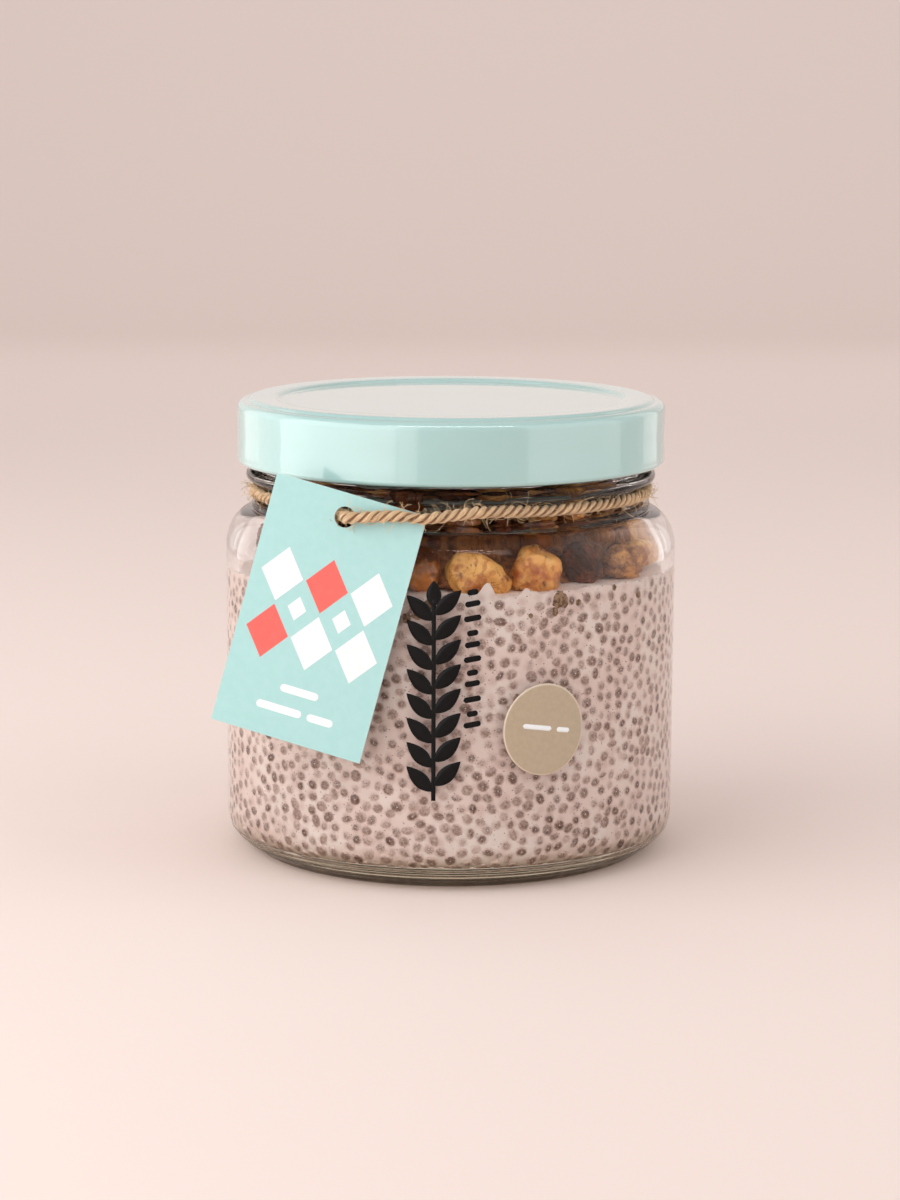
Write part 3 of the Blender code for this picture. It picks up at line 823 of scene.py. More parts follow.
def make_heap(finishes):
    """The topping: many separate pieces over a dark core, one mesh for each kind."""
    draw = random.Random(23)
    lumps = {kind: [] for kind in HEAP_KINDS}
    shares = [share for _, _, share in HEAP_KINDS.values()]
    large = [(piece[0], max(piece[1])) for piece in (HAZELNUT_LEFT, HAZELNUT_RIGHT, RAISIN, FRUIT_PIECE)]
    for index, (centre, size) in enumerate(heap_places(draw)):
        kind = draw.choices(list(HEAP_KINDS), shares)[0]
        angle = math.degrees(math.atan2(centre.x, -centre.y))
        if CRUMBLY_SIDE[0] < angle < CRUMBLY_SIDE[1] and centre.z < CRUMBLY_TOP_Z:
            kind = "crumbs"
        turn = [draw.uniform(-60, 60), draw.uniform(-60, 60), draw.uniform(0, 360)]
        tone = draw.random() * 0.9
        if any((centre - other).length < (size + reach) * HEAP_OVERLAP for other, reach in large):
            continue
        form, half, _ = HEAP_KINDS[kind]
        lumps[kind].append((lump(centre, half * size, turn, form, index + 1.0), tone))
    for index, (azimuth, height, size) in enumerate(SUNKEN_CRUMBS):
        half = Vector((size, 0.55, size * 1.05)) * MM
        spot = wall_point(INNER_R + WET - 0.22 * MM, math.radians(azimuth), height * MM)
        lumps["crumbs"].append((lump(spot, half, (0, 0, azimuth), crumb_form, 70.0 + index, 3), SUNKEN))
    return [joined("heap_" + kind, pieces, finishes[kind]) for kind, pieces in lumps.items()]


def make_heap_core(finish):
    """The rough mound under the topping's pieces, in a darker crumb colour that is painted shade between
    them.
    """
    side = [(0.0, 71.6 * MM), (12 * MM, 71.2 * MM), (22 * MM, 69.4 * MM), (28.5 * MM, 66.5 * MM),
            (32.4 * MM, 63.5 * MM), (35.5 * MM, 60.5 * MM), (36.5 * MM, 58.2 * MM)]
    under = [(35.0 * MM, 57.4 * MM), (18.0 * MM, 57.4 * MM), (0.0, 57.4 * MM)]
    mesh = turned("heap_core", divided(smoothed(side, 3) + under, 1.0 * MM), 160)
    for vertex in mesh.vertices:
        place = vertex.co * 260
        if vertex.co.z > 58 * MM:
            grown = 1.0 + 0.03 * noise.noise(place) + 0.02 * abs(noise.noise(place * 3.1))
            vertex.co.x *= grown
            vertex.co.y *= grown
            vertex.co.z += 1.1 * MM * noise.noise(place * 0.8) + 0.5 * MM * abs(noise.noise(place * 2.7))
        else:
            vertex.co.z = level_at(vertex.co.x, vertex.co.y) + 0.25 * MM
    mesh.update()
    return put("heap_core", mesh, finish)


def tag_axes():
    """The tag's own directions: to its right, up its face, and out of its face."""
    out = Vector((math.sin(TAG_FACING), -math.cos(TAG_FACING), 0.0))
    right = Vector((math.cos(TAG_FACING), math.sin(TAG_FACING), 0.0))
    rise = Vector((0.0, 0.0, 1.0)) * math.cos(TAG_LEAN) - out * math.sin(TAG_LEAN)
    across = right * math.cos(TAG_TILT) - rise * math.sin(TAG_TILT)
    upward = right * math.sin(TAG_TILT) + rise * math.cos(TAG_TILT)
    return across, upward, across.cross(upward)


def tag_point(u, v, lift):
    """A point on the tag: to its right, up its face, and off its face."""
    across, upward, out = tag_axes()
    return TAG_CENTRE + across * u + upward * v + out * lift


def flat_shape(name, outlines, thickness):
    """A flat plate from closed outlines, holes included, lying in the XY plane."""
    curve = bpy.data.curves.new(name, "CURVE")
    curve.dimensions = "2D"
    curve.fill_mode = "BOTH"
    curve.extrude = thickness / 2
    for outline in outlines:
        spline = curve.splines.new("POLY")
        spline.points.add(len(outline) - 1)
        for slot, (x, y) in zip(spline.points, outline):
            slot.co = (x, y, 0.0, 1.0)
        spline.use_cyclic_u = True
    carrier = bpy.data.objects.new(name, curve)
    bpy.context.scene.collection.objects.link(carrier)
    return evaluated_mesh(carrier)


def onto_tag(mesh, lift):
    """Move a flat mesh from the XY plane onto the tag."""
    for vertex in mesh.vertices:
        x, y, z = vertex.co
        vertex.co = tag_point(x, y, z + lift)
    mesh.update()
    return mesh


def circle(x, y, radius, sides=48):
    return [(x + radius * math.cos(2 * math.pi * i / sides), y + radius * math.sin(2 * math.pi * i / sides))
            for i in range(sides)]


def bar(x, y, length):
    """A dash with round ends."""
    points = []
    half = BAR_HEIGHT / 2
    sides = 8
    for middle, turn in ((x + length / 2 - half, 0.0), (x - length / 2 + half, math.pi)):
        for i in range(sides + 1):
            angle = math.pi / 2 * (-1 + 2 * i / sides) + turn
            points.append((middle + half * math.cos(angle), y + half * math.sin(angle)))
    return points


def lozenge(column, row, part):
    """A lozenge in the tag's pattern, filling a part of its cell."""
    x = column * LOZENGE_WIDTH
    y = TAG_ART_V + row * LOZENGE_HEIGHT
    half_w = LOZENGE_WIDTH * part / 2
    half_h = LOZENGE_HEIGHT * part / 2
    return [(x - half_w, y), (x, y - half_h), (x + half_w, y), (x, y + half_h)]


def make_tag(card, core, white, coral):
    """The card with its hole, and its printed pattern of lozenges over three bars."""
    half_w = TAG_WIDTH / 2
    half_h = TAG_HEIGHT / 2
    sheet = [(-half_w, -half_h), (half_w, -half_h), (half_w, half_h), (-half_w, half_h)]
    mesh = flat_shape("card_tag", [sheet, circle(TAG_HOLE.x, TAG_HOLE.y, TAG_HOLE_R)], TAG_THICK)
    onto_tag(mesh, 0.0)
    tag = put("card_tag", mesh, card, core)
    out = tag_axes()[2]
    for polygon in mesh.polygons:
        polygon.material_index = 0 if abs(polygon.normal.dot(out)) > 0.5 else 1
    whites = [lozenge(*cell, LOZENGE_FILL) for cell in ((-1, 0.5), (1, 0.5), (0, -0.5), (1, -0.5))]
    whites += [lozenge(side, 0, SMALL_LOZENGE) for side in (-0.5, 0.5)]
    whites += [bar(u * MM, v * MM, length * MM) for u, v, length in
               ((0.2, -14.6, 7.6), (-2.8, -18.7, 9.0), (5.4, -18.7, 5.2))]
    corals = [lozenge(*cell, LOZENGE_FILL) for cell in ((0, 0.5), (-1, -0.5))]
    prints = []
    for name, outlines, ink in (("tag_print_white", whites, white), ("tag_print_coral", corals, coral)):
        flat = flat_shape(name, outlines, PRINT_THICK)
        prints.append(put(name, onto_tag(flat, TAG_THICK / 2 + TAG_PRINT_LIFT), ink))
    return tag, prints


def ring_route():
    """The twine's way round the back of the neck."""
    points = []
    for i in range(TWINE_RING_POINTS):
        angle = TWINE_RING_START + (TWINE_RING_END - TWINE_RING_START) * i / (TWINE_RING_POINTS - 1)
        height = TWINE_Z + TWINE_TILT * math.cos(angle) + 0.2 * MM * math.sin(angle)
        points.append(wall_point(TWINE_RING_R, angle, height))
    return points


def tag_route():
    """The twine's way through the tag's hole and back to the neck."""
    off = (TAG_THICK / 2 + TWINE_R + 0.3 * MM) / MM
    places = [(-2.6, -0.4, -5.4), (-1.0, -0.1, -2.7), (-0.35, 0.0, -1.0), (0.35, 0.0, 1.0),
              (1.4, 0.3, 2.1), (3.4, 1.0, 2.1), (6.5, 2.1, off), (11.0, 3.2, off), (15.2, 4.1, 1.1 * off)]
    points = [tag_point(TAG_HOLE.x + u * MM, TAG_HOLE.y + v * MM, n * MM) for u, v, n in places]
    return points + [Vector((5.0 * MM, -42.7 * MM, TWINE_Z + 1.1 * MM))]


def smooth_loop(points, parts):
    """A closed smooth curve through the points."""
    total = len(points)
    picked = []
    for i in range(total):
        a, b, c, d = (points[(i + k) % total] for k in (-1, 0, 1, 2))
        picked += [curve_point(a, b, c, d, j / parts) for j in range(parts)]
    return picked


def twine_line():
    """The line of the closed loop as a mesh of edges, and its length."""
    route = smooth_loop(ring_route() + tag_route(), 8)
    mesh = bpy.data.meshes.new("twine_line")
    edges = [(i, (i + 1) % len(route)) for i in range(len(route))]
    mesh.from_pydata([tuple(point) for point in route], edges, [])
    return mesh, sum((route[i] - route[i - 1]).length for i in range(len(route)))


def make_twine(finish, hair):
    """Three plies twisted round the loop's line, and the loose fibres that stand off them."""
    line, length = twine_line()
    turns = float(round(length / TWINE_PITCH))
    grower = Grower("TwistedTwine", turns=turns, step=TWINE_STEP, ply=PLY_R, finish=finish)
    start = grower.start
    loop = grower.node("GeometryNodeMeshToCurve", {0: start["Geometry"]}).outputs[0]
    even = grower.node("GeometryNodeResampleCurve", {"Curve": loop, "Length": start["step"]}, mode="LENGTH")
    count = grower.node("GeometryNodeAttributeDomainSize", {0: even.outputs[0]}, component="CURVE")
    index = grower.node("GeometryNodeInputIndex").outputs[0]
    share = grower.math("DIVIDE", index, count.outputs["Point Count"])
    angle = grower.times(grower.times(share, start["turns"]), -2 * math.pi)
    tilted = grower.node("GeometryNodeSetCurveTilt", {"Curve": even.outputs[0], "Tilt": angle}).outputs[0]
    marked = grower.keep(tilted, "along", share)
    ring = grower.node("GeometryNodeCurvePrimitiveCircle", {"Resolution": 12, "Radius": start["ply"]},
                       mode="RADIUS")
    round_part = grower.node("GeometryNodeSplineParameter").outputs["Factor"]
    round_angle = grower.times(round_part, 2 * math.pi)
    around = grower.keep(ring.outputs[0], "around", round_part)
    bundle = grower.node("GeometryNodeJoinGeometry")
    for i in range(TWINE_PLIES):
        turn = 2 * math.pi * i / TWINE_PLIES
        # How far each ply faces out is kept as "outer". The twine's material paints shade where a ply faces
        # in.
        facing = grower.math("COSINE", grower.minus(round_angle, turn))
        place = (PLY_REACH * math.cos(turn), PLY_REACH * math.sin(turn), 0.0)
        ply = grower.node("GeometryNodeTransform",
                          {"Geometry": grower.keep(around, "outer", facing), "Translation": place})
        grower.tree.links.new(ply.outputs[0], bundle.inputs[0])
    tube = grower.node("GeometryNodeCurveToMesh", {"Curve": marked, "Profile Curve": bundle.outputs[0]})
    smooth = grower.node("GeometryNodeSetShadeSmooth", {0: tube.outputs[0]})
    grower.realized(smooth.outputs[0])
    mesh = grower.grow("jute_twine", line)
    places = [vertex.co.copy() for vertex in mesh.vertices]
    normals = [vertex.normal.copy() for vertex in mesh.vertices]
    for vertex, place, normal in zip(mesh.vertices, places, normals):
        rough = noise.noise(place * 2600) * 0.07 + noise.noise(place * 620) * 0.17
        rough += noise.noise(place * 210) * 0.2
        vertex.co = place + normal * rough * MM
    mesh.update()
    return put("jute_twine", mesh), make_fibres(mesh, hair)


def make_fibres(twine, hair):
    """Short loose fibres that curl away from the twine."""
    grower = Grower("LooseFibres", spacing=FIBRE_SPACING, seed=4, finish=hair)
    spread = grower.scattered()
    bend = grower.node("GeometryNodeCurvePrimitiveBezierSegment",
                       {"Resolution": 7, "Start": (0, 0, -0.3 * MM), "Start Handle": (0.2 * MM, 0, 0.9 * MM),
                        "End Handle": (1.4 * MM, 0.3 * MM, 1.5 * MM), "End": (2.7 * MM, 0.9 * MM, 1.1 * MM)})
    thread = grower.node("GeometryNodeCurvePrimitiveCircle", {"Resolution": 3, "Radius": FIBRE_R},
                         mode="RADIUS")
    tube = grower.node("GeometryNodeCurveToMesh",
                       {"Curve": bend.outputs[0], "Profile Curve": thread.outputs[0], "Fill Caps": True})
    turn = grower.turned(spread.outputs["Rotation"], (-0.5, -0.5, 0.0), (0.5, 0.5, 6.28), 8)
    grower.copied(spread.outputs["Points"], tube.outputs[0], turn, (0.3, 0.2, 0.3), (1.35, 1.1, 1.1), 9)
    return put("twine_fibres", grower.grow("twine_fibres", twine.copy()))


def onto_glass(points, radius, azimuth, height):
    """Wrap flat points round the jar."""
    return [wall_point(radius, azimuth + x / BODY_R, height + y) for x, y in points]


def make_label(paper, white):
    """The round sticker, and two white dashes on it."""
    rings = 14
    sides = 96
    flat = [(0.0, 0.0)]
    rims = [0.0]
    for ring in range(1, rings + 1):
        part = ring / rings
        flat += [(x * LABEL_HALF_WIDTH, y * LABEL_HALF_HEIGHT) for x, y in circle(0.0, 0.0, part, sides)]
        rims += [part] * sides
    faces = [(0, 1 + i, 1 + (i + 1) % sides) for i in range(sides)]
    for ring in range(rings - 1):
        first = 1 + ring * sides
        for i in range(sides):
            j = (i + 1) % sides
            faces.append((first + i, first + sides + i, first + sides + j, first + j))
    mesh = as_mesh("taupe_sticker", onto_glass(flat, BODY_R + LABEL_LIFT, LABEL_AZIMUTH, LABEL_Z), faces)
    set_values(mesh, "rim", rims)
    label = put("taupe_sticker", with_thickness(mesh, LABEL_THICK), paper)
    marks = [dash((-1.5 * MM, 0.5 * MM), 6.0 * MM, 0.95 * MM, MARK_TILT),
             dash((3.9 * MM, -0.4 * MM), 2.8 * MM, 0.95 * MM, MARK_TILT)]
    return label, wrapped_shapes("sticker_marks", marks, MARK_LIFT, LABEL_AZIMUTH, LABEL_Z, white)


def dash(middle, length, height, tilt):
    """Grid of flat points for a tilted dash with round ends."""
    rows = []
    steps = 18
    for i in range(steps + 1):
        part = -1 + 2 * i / steps
        x = part * length / 2
        inset = max(0.0, abs(x) - (length / 2 - height / 2)) / (height / 2)
        half = height / 2 * math.sqrt(max(0.0, 1 - inset * inset)) + 0.001 * MM
        rows.append([(middle[0] + x * math.cos(tilt) - side * half * math.sin(tilt),
                      middle[1] + x * math.sin(tilt) + side * half * math.cos(tilt))
                     for side in (-1, -0.33, 0.33, 1)])
    return rows


def leaf(x, y, length, width, lean):
    """Grid of flat points for a pointed leaf that starts at (x, y) and leans from upright."""
    rows = []
    steps = 14
    for i in range(steps + 1):
        part = i / steps
        half = width / 2 * math.sin(math.pi * part) ** 0.8 * (1.15 - 0.4 * part) + 0.001 * MM
        row = []
        for side in (-1, -0.4, 0.4, 1):
            across = side * half
            along = part * length
            row.append((x + along * math.sin(lean) + across * math.cos(lean),
                        y + along * math.cos(lean) - across * math.sin(lean)))
        rows.append(row)
    return rows


def wrapped_shapes(name, grids, lift, azimuth, height, finish):
    """Flat grids wrapped round the glass as one thin piece that stands a little off it."""
    points = []
    faces = []
    for grid in grids:
        wide = len(grid[0])
        for row in grid:
            first = len(points)
            points.extend(onto_glass(row, BODY_R + lift, azimuth, height))
            if row is not grid[0]:
                for i in range(wide - 1):
                    faces.append((first + i, first - wide + i, first - wide + i + 1, first + i + 1))
    mesh = as_mesh(name, points, faces)
    probe = mesh.polygons[0]
    outward = Vector((probe.center.x, probe.center.y, 0.0))
    if probe.normal.dot(outward) < 0:
        mesh.flip_normals()
    return put(name, with_thickness(mesh, PRINT_THICK), finish)


# The dashes beside the sprig: height and length in millimetres
DASHES = [(33.0, 3.4), (35.1, 2.2), (37.9, 3.4), (40.9, 3.0), (43.0, 2.2), (45.6, 3.4), (48.4, 3.0),
          (50.6, 2.2), (53.4, 3.4), (56.2, 3.0), (58.4, 2.2)]


def make_glass_print(ink):
    """A black sprig of plain leaves up the front of the glass, beside a column of small dashes."""
    stem = [[(side * 0.42 * MM, z * MM) for side in (-1, 0, 1)] for z in np.linspace(18.2, 57.0, 40)]
    grids = [stem]
    for i in range(LEAF_PAIRS):
        base = (20.0 + 4.7 * i) * MM
        grids.append(leaf(-0.2 * MM, base, 6.9 * MM, 3.1 * MM, -LEAF_LEAN))
        grids.append(leaf(0.2 * MM, base + 1.1 * MM, 6.9 * MM, 3.1 * MM, LEAF_LEAN))
    grids.append(leaf(0.0, 55.6 * MM, 5.0 * MM, 3.0 * MM, 0.0))
    sprig = wrapped_shapes("glass_sprig", grids, PRINT_LIFT, SPRIG_AZIMUTH, 0.0, ink)
    dashes = [dash((0.0, height * MM), length * MM, DASH_HEIGHT, DASH_TILT) for height, length in DASHES]
    return sprig, wrapped_shapes("glass_dashes", dashes, PRINT_LIFT, DASH_AZIMUTH, 0.0, ink)


def glass_finish():
    """Clear glass, faintly olive where it is thick at the base."""
    clear = (0.996, 0.986, 0.978, 1.0)
    glass = Finish("clear_jar_glass", clear, 0.0, Transmission_Weight=1.0, IOR=1.47,
                   Specular_Tint=(0.3, 0.2, 0.17, 1.0))
    thick = glass.band(glass.heights(), FLOOR_Z * 0.6, FLOOR_Z + 2.0 * MM, 1.0, 0.0)
    glass.paint(glass.blend(thick, clear, srgb(222, 218, 190)))
    glass.bump(glass.noise(45, 2.0), 0.00008, 0.3)
    return glass.material


def lid_finish():
    """Mint enamel under a clear coat."""
    paint = Finish("mint_lid_enamel", srgb(163, 197, 194), 0.26, Coat_Weight=1.0, Coat_Roughness=0.08,
                   Coat_IOR=1.55)
    cloud = paint.band(paint.noise(35, 2.0), 0.35, 0.65)
    paint.paint(paint.blend(cloud, srgb(160, 195, 192), srgb(166, 199, 196)))
    paint.bump(paint.noise(900, 2.0), 0.00002, 0.3)
    return paint.material


def pudding_finish():
    """Milky pink, darker over the seeds that lie just under the surface, with fine brown specks."""
    body = Finish("chia_pudding", srgb(250, 242, 240), 0.5)
    cloud = body.band(body.noise(90, 4.0, 0.6), 0.32, 0.68)
    milk = body.blend(cloud, srgb(250, 227, 218), srgb(255, 241, 233))
    deep = body.band(body.cells(330), 0.08, 0.46, 0.75, 0.0)
    milk = body.blend(deep, milk, srgb(233, 205, 195))
    near = body.attribute("near_seed")
    ragged = body.plus(near, body.times(body.noise(1300, 3.0, 0.65), 0.7))
    milk = body.blend(body.band(ragged, 0.48, 1.2, 0.0, 0.85), milk, srgb(204, 172, 160))
    specks = body.band(body.cells(1150), 0.10, 0.2, 0.8, 0.0)
    some = body.band(body.noise(420, 1.0), 0.4, 0.5)
    milk = body.blend(body.times(specks, some), milk, srgb(142, 92, 70))
    body.paint(milk)
    body.bump(body.noise(700, 3.0), 0.0001, 0.3)
    return body.material


def seed_finish():
    """Mottled brown with a painted highlight dot at its middle and painted white glints, fading into the
    pudding where the seed dips under.
    """
    seed = Finish("chia_seed", srgb(160, 136, 128), 0.3)
    tone = seed.attribute("tone")
    rise = seed.minus(seed.times(seed.attribute("cap"), SEED_HALF.z / MM), seed.attribute("depth"))
    rise = seed.plus(rise, seed.times(seed.minus(seed.noise(2300, 3.0, 0.7), 0.5), 0.5))
    dark = seed.blend(tone, srgb(88, 58, 44), srgb(170, 138, 124))
    pale = seed.blend(tone, srgb(150, 118, 104), srgb(212, 190, 180))
    mottle = seed.band(seed.noise(1500, 4.0, 0.7), 0.42, 0.62)
    colour = seed.blend(mottle, dark, pale)
    colour = seed.blend(seed.band(rise, -0.04, 0.27), srgb(238, 214, 204), colour)
    # Painted highlight: a near-white dot at the seed's middle stands for the light's reflection.
    painted_highlight_dot = seed.times(seed.band(seed.attribute("cap"), 0.955, 0.985), seed.band(tone, 0.3, 0.5, 1.0, 0.4))
    colour = seed.blend(painted_highlight_dot, colour, srgb(250, 240, 234))
    # Painted glints: small near-white flecks on the raised part of the seed stand for reflected light.
    painted_glints = seed.times(seed.band(seed.cells(2300), 0.1, 0.2, 0.9, 0.0), seed.band(rise, 0.2, 0.3))
    seed.paint(seed.blend(painted_glints, colour, srgb(252, 246, 240)))
    return seed.material


def nut_finish(name, pale, toasted, scorched, amount):
    """Pale nut toasted in patches, with scorched dots and creases."""
    nut = Finish(name, pale, 0.42, Coat_Weight=0.15, Coat_Roughness=0.25)
    tone = nut.attribute("tone")
    patch = nut.noise(190, 4.0, 0.6)
    colour = nut.blend(nut.band(nut.noise(420, 3.0), 0.35, 0.7), pale, srgb(240, 186, 104))
    colour = nut.blend(nut.band(patch, 0.62 - amount, 0.74 - amount * 0.5), colour, toasted)
    dots = nut.times(nut.band(nut.cells(900), 0.08, 0.2, 0.9, 0.0), nut.band(nut.noise(260), 0.45, 0.6))
    colour = nut.blend(dots, colour, scorched)
    colour = nut.blend(nut.band(nut.noise(330, 5.0, 0.65), 0.57, 0.66, 0.0, 0.9), colour, scorched)
    crease = nut.math("ABSOLUTE", nut.minus(nut.noise(240, 3.0, 0.6), 0.5))
    colour = nut.blend(nut.band(crease, 0.006, 0.03, 0.55, 0.0), colour, toasted)
    nut.paint(nut.blend(nut.times(tone, 0.35), colour, toasted))
    nut.bump(nut.noise(800, 4.0), 0.00025, 0.6)
    return nut.material


def raisin_finish():
    """Dark wrinkled skin."""
    skin = Finish("dark_raisin_skin", srgb(62, 36, 24), 0.45, Specular_IOR_Level=0.2)
    tone = skin.attribute("tone")
    colour = skin.blend(skin.band(skin.noise(240, 4.0), 0.4, 0.64), srgb(30, 10, 4), srgb(112, 54, 24))
    skin.paint(skin.blend(skin.times(tone, 0.5), colour, srgb(156, 94, 50)))
    skin.bump(skin.noise(650, 4.0), 0.0005, 0.9)
    return skin.material


def fruit_finish():
    """Moist amber flesh."""
    flesh = Finish("amber_fruit_flesh", srgb(160, 92, 34), 0.3, Coat_Weight=0.4, Coat_Roughness=0.15)
    tone = flesh.attribute("tone")
    colour = flesh.blend(flesh.band(flesh.noise(210, 4.0), 0.35, 0.68), srgb(96, 42, 10), srgb(208, 124, 40))
    flesh.paint(flesh.blend(flesh.times(tone, 0.45), colour, srgb(94, 44, 16)))
    flesh.bump(flesh.noise(520, 4.0), 0.0003, 0.6)
    return flesh.material


def crumb_finish(name, dark, light):
    """Rough crumb with dark dots. Crumbs of the sunken tone are wet."""
    crumb = Finish(name, light, 0.7)
    colour = crumb.blend(crumb.band(crumb.noise(420, 5.0, 0.65), 0.36, 0.64), dark, light)
    dots = crumb.band(crumb.cells(1400), 0.12, 0.24, 0.7, 0.0)
    colour = crumb.blend(dots, colour, srgb(74, 42, 24))
    soaked = crumb.band(crumb.noise(900, 4.0, 0.65), 0.38, 0.62)
    wet = crumb.blend(soaked, srgb(100, 70, 48), srgb(184, 150, 118))
    crumb.paint(crumb.blend(crumb.band(crumb.attribute("tone"), 0.93, 0.97), colour, wet))
    crumb.bump(crumb.noise(1100, 5.0, 0.7), 0.0004, 0.8)
    return crumb.material


def twine_finish():
    """Straw strands along the twist, and painted shade in the grooves between the plies."""
    jute = Finish("jute_fibre", srgb(252, 218, 174), 0.8, Sheen_Weight=0.15)
    along = jute.times(jute.attribute("along"), 90.0)
    around = jute.times(jute.attribute("around"), 12.0)
    lay = jute.node("ShaderNodeCombineXYZ", {0: along, 1: around}).outputs[0]
    strands = jute.noise(2.2, 4.0, 0.65, lay)
    colour = jute.blend(jute.band(strands, 0.36, 0.6), srgb(196, 150, 104), srgb(252, 218, 174))
    colour = jute.blend(jute.band(jute.noise(480, 2.0), 0.4, 0.7, 0.0, 0.45), colour, srgb(236, 204, 162))
    # Painted shade: the colour darkens where a ply faces inward, into the grooves between the plies.
    jute.paint(jute.blend(jute.band(jute.attribute("outer"), -0.1, 0.72), srgb(156, 112, 74), colour))
    jute.bump(strands, 0.0004, 1.0)
    return jute.material


def card_finish(name, colour, second, roughness=0.62, shine=0.35):
    """A plain dull finish, faintly flecked with a second colour."""
    card = Finish(name, colour, roughness, Specular_IOR_Level=shine)
    fleck = card.band(card.noise(600, 4.0), 0.3, 0.7)
    card.paint(card.blend(fleck, colour, second))
    card.bump(card.noise(1500, 3.0), 0.00003, 0.4)
    return card.material


def sticker_finish():
    """Taupe paper with a pale cut edge."""
    paper = Finish("taupe_sticker_paper", srgb(176, 157, 133), 0.5)
    edge = paper.band(paper.attribute("rim"), 0.955, 0.985)
    fleck = paper.band(paper.noise(1100, 3.0), 0.3, 0.7)
    colour = paper.blend(fleck, srgb(173, 155, 131), srgb(178, 160, 136))
    paper.paint(paper.blend(edge, colour, srgb(214, 196, 176)))
    paper.bump(paper.noise(1600, 2.0), 0.00002, 0.3)
    return paper.material


def make_floor(finish):
    """A floor that curves up behind the jar."""
    bend = [(1.1 + 0.9 * math.sin(angle), 0.9 - 0.9 * math.cos(angle))
            for angle in np.linspace(0.1, math.pi / 2, 14)]
    points = []
    faces = []
    for i, (y, z) in enumerate([(-2.4, 0.0), (1.1, 0.0)] + bend + [(2.0, 2.6)]):
        points += [(-3.2, y, z - 0.05 * MM), (3.2, y, z - 0.05 * MM)]
        if i:
            faces.append((2 * i - 2, 2 * i - 1, 2 * i + 1, 2 * i))
    return put("floor", as_mesh("floor", points, faces), finish)


def make_lamp(name, place, target, size, power, colour=(1.0, 1.0, 1.0)):
    """A soft rectangle of light that the camera doesn't see, aimed from its place at a target."""
    data = bpy.data.lights.new(name, "AREA")
    data.shape = "RECTANGLE"
    data.size, data.size_y = size
    data.energy = power
    data.color = colour
    lamp = bpy.data.objects.new(name, data)
    bpy.context.scene.collection.objects.link(lamp)
    lamp.location = place
    lamp.rotation_euler = (place - target).to_track_quat("Z", "Y").to_euler()
    lamp.visible_camera = False
    return lamp


# Upright panels round the jar: azimuth in degrees, distance, height, width, tallness, watts and colour
PANELS = {"panel_left": (-63, 0.42, 0.27, 0.6, 0.54, 2.2),
          "panel_left_edge": (-21.5, 0.42, 0.27, 0.07, 0.54, 0.15),
          "panel_right": (68.5, 0.42, 0.27, 0.47, 0.54, 0.75),
          "backdrop_glow": (180, 1.15, 0.44, 1.5, 0.62, 0.7, COOL_WHITE),
          "edge_left": (-131, 0.6, 0.3, 0.2, 0.6, 0.28),
          "edge_right": (131, 0.6, 0.3, 0.2, 0.6, 0.28),
          "panel_left_back": (-110, 0.5, 0.27, 0.22, 0.54, 0.2),
          "panel_right_back": (110, 0.5, 0.27, 0.22, 0.54, 0.07)}


def make_room():
    """A pale floor, soft lights and a plain sky."""
    make_floor(Finish("pale_floor", srgb(235, 219, 212), 0.75).material)
    world = bpy.data.worlds.new("studio")
    world.use_nodes = True
    sky = world.node_tree.nodes["Background"].inputs
    sky["Color"].default_value = SKY_COLOUR
    sky["Strength"].default_value = SKY_STRENGTH
    bpy.context.scene.world = world
    for name, (azimuth, distance, height, width, tall, *rest) in PANELS.items():
        place = wall_point(distance, math.radians(azimuth), height)
        make_lamp(name, place, Vector((0.0, 0.0, place.z)), (width, tall), *rest)
    strip = make_lamp("highlight_strip", Vector((0.0, -0.4, 0.68)), Vector((0.0, 0.0, 0.07)),
                      (0.7, 0.035), 1.5)
    strip.visible_diffuse = False
    make_lamp("backdrop_wash", Vector((0.0, 0.75, 1.5)), Vector((0.0, 2.0, 0.75)), (1.2, 1.2), 5.0,
              PALE_COOL_WHITE)


def make_camera():
    """The camera that the photo's outlines were fitted with."""
    data = bpy.data.cameras.new("camera")
    data.lens = CAMERA_LENS
    data.sensor_width = 36.0
    data.clip_start = 0.01
    data.clip_end = 20.0
    camera = bpy.data.objects.new("camera", data)
    bpy.context.scene.collection.objects.link(camera)
    back = Vector((0.0, -math.cos(CAMERA_PITCH), math.sin(CAMERA_PITCH)))
    up = Vector((0.0, math.sin(CAMERA_PITCH), math.cos(CAMERA_PITCH)))
    right = Vector((1.0, 0.0, 0.0))
    rolled_right = right * math.cos(CAMERA_ROLL) + up * math.sin(CAMERA_ROLL)
    rolled_up = up * math.cos(CAMERA_ROLL) - right * math.sin(CAMERA_ROLL)
    pose = Matrix((rolled_right, rolled_up, back)).transposed().to_4x4()
    pose.translation = CAMERA_PLACE
    camera.matrix_world = pose
    bpy.context.scene.camera = camera


def add_glass_and_lid():
    glass = make_glass(glass_finish())
    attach(glass, "root")
    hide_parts("jar_glass")
    enamel = lid_finish()
    lid, seal = make_lid(enamel, card_finish("lid_seal_compound", srgb(226, 224, 214), srgb(232, 230, 222)))
    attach(lid, "root")
    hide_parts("lid")
    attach(seal, "root")


def add_pudding():
    pudding = make_pudding(pudding_finish())
    places = seed_places(pudding)
    shade_round_seeds(pudding, places)
    seeds = make_seeds(places, seed_finish())
    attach(pudding, "root")
    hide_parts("pudding")
    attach(seeds, "root")


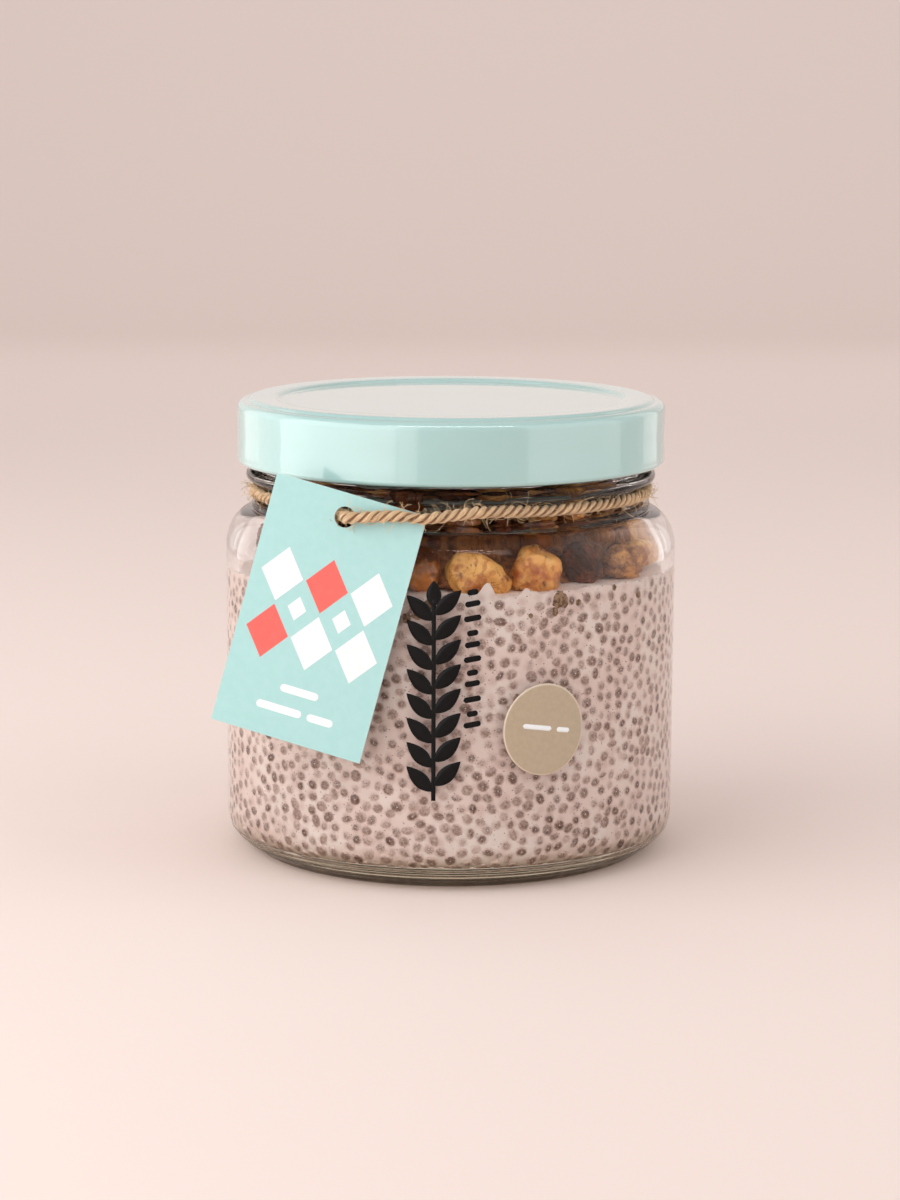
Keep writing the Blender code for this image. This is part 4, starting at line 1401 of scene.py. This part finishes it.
def add_topping():
    pale_nut = nut_finish("pale_hazelnut", srgb(230, 164, 80), srgb(176, 92, 28), srgb(84, 36, 12), 0.1)
    gold_nut = nut_finish("golden_hazelnut", srgb(228, 152, 66), srgb(170, 82, 22), srgb(80, 34, 10), 0.15)
    raisin_skin = raisin_finish()
    fruit_flesh = fruit_finish()
    crumb = crumb_finish("golden_crumb", srgb(136, 76, 32), srgb(222, 158, 88))
    nut_slot = "toasted_hazelnut"
    for name, (centre, half, turn), form, finish, node, slot, seed in (
            ("hazelnut_pale", HAZELNUT_LEFT, nut_form, pale_nut, "hazelnut_left", nut_slot, 3.1),
            ("hazelnut_golden", HAZELNUT_RIGHT, nut_form, gold_nut, "hazelnut_right", nut_slot, 7.7),
            ("raisin_large", RAISIN, raisin_form, raisin_skin, "raisin", "dark_raisin", 2.3),
            ("fruit_large", FRUIT_PIECE, fruit_form, fruit_flesh, "fruit_piece", "amber_fruit", 5.9)):
        piece = joined(name, [(lump(centre, half, (0, turn, 0), form, seed, 5), LARGE_PIECE_TONE)], finish)
        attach(piece, "root")
        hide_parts(node)
    # The mound's crumb is a darker copy of the golden crumb: painted shade between the pieces.
    core = make_heap_core(crumb_finish("heap_crumb_painted_shade", srgb(88, 46, 22), srgb(166, 104, 54)))
    chopped = nut_finish("chopped_nut", srgb(218, 154, 80), srgb(168, 94, 36), srgb(90, 44, 18), 0.14)
    heap = make_heap({"nuts": chopped, "raisins": raisin_skin, "fruits": fruit_flesh, "crumbs": crumb})
    for piece in [core] + heap:
        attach(piece, "root")
        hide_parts("topping_heap")


def add_twine():
    hair = card_finish("loose_jute", srgb(214, 180, 134), srgb(232, 202, 158))
    for piece in make_twine(twine_finish(), hair):
        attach(piece, "root")
        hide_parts("twine")


def add_tag(white):
    card = card_finish("mint_card", srgb(166, 208, 206), srgb(170, 211, 209))
    paper_core = card_finish("card_cut_edge", srgb(238, 242, 240), srgb(228, 236, 234))
    coral = card_finish("coral_print", srgb(238, 106, 98), srgb(234, 100, 92))
    tag, prints = make_tag(card, paper_core, white, coral)
    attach(tag, "root")
    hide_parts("tag")
    for piece in prints:
        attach(piece, "root")


def add_label_and_print(white):
    label, marks = make_label(sticker_finish(), white)
    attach(label, "root")
    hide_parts("round_label")
    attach(marks, "root")
    ink = card_finish("black_glass_ink", srgb(9, 8, 8), srgb(14, 12, 12), 0.4, 0.15)
    for piece in make_glass_print(ink):
        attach(piece, "root")


def main():
    make_camera()
    make_room()
    bpy.context.scene.view_settings.view_transform = "Standard"
    add_glass_and_lid()
    add_pudding()
    add_topping()
    add_twine()
    white = card_finish("white_print", srgb(236, 238, 239), srgb(231, 233, 234))
    add_tag(white)
    add_label_and_print(white)


main()
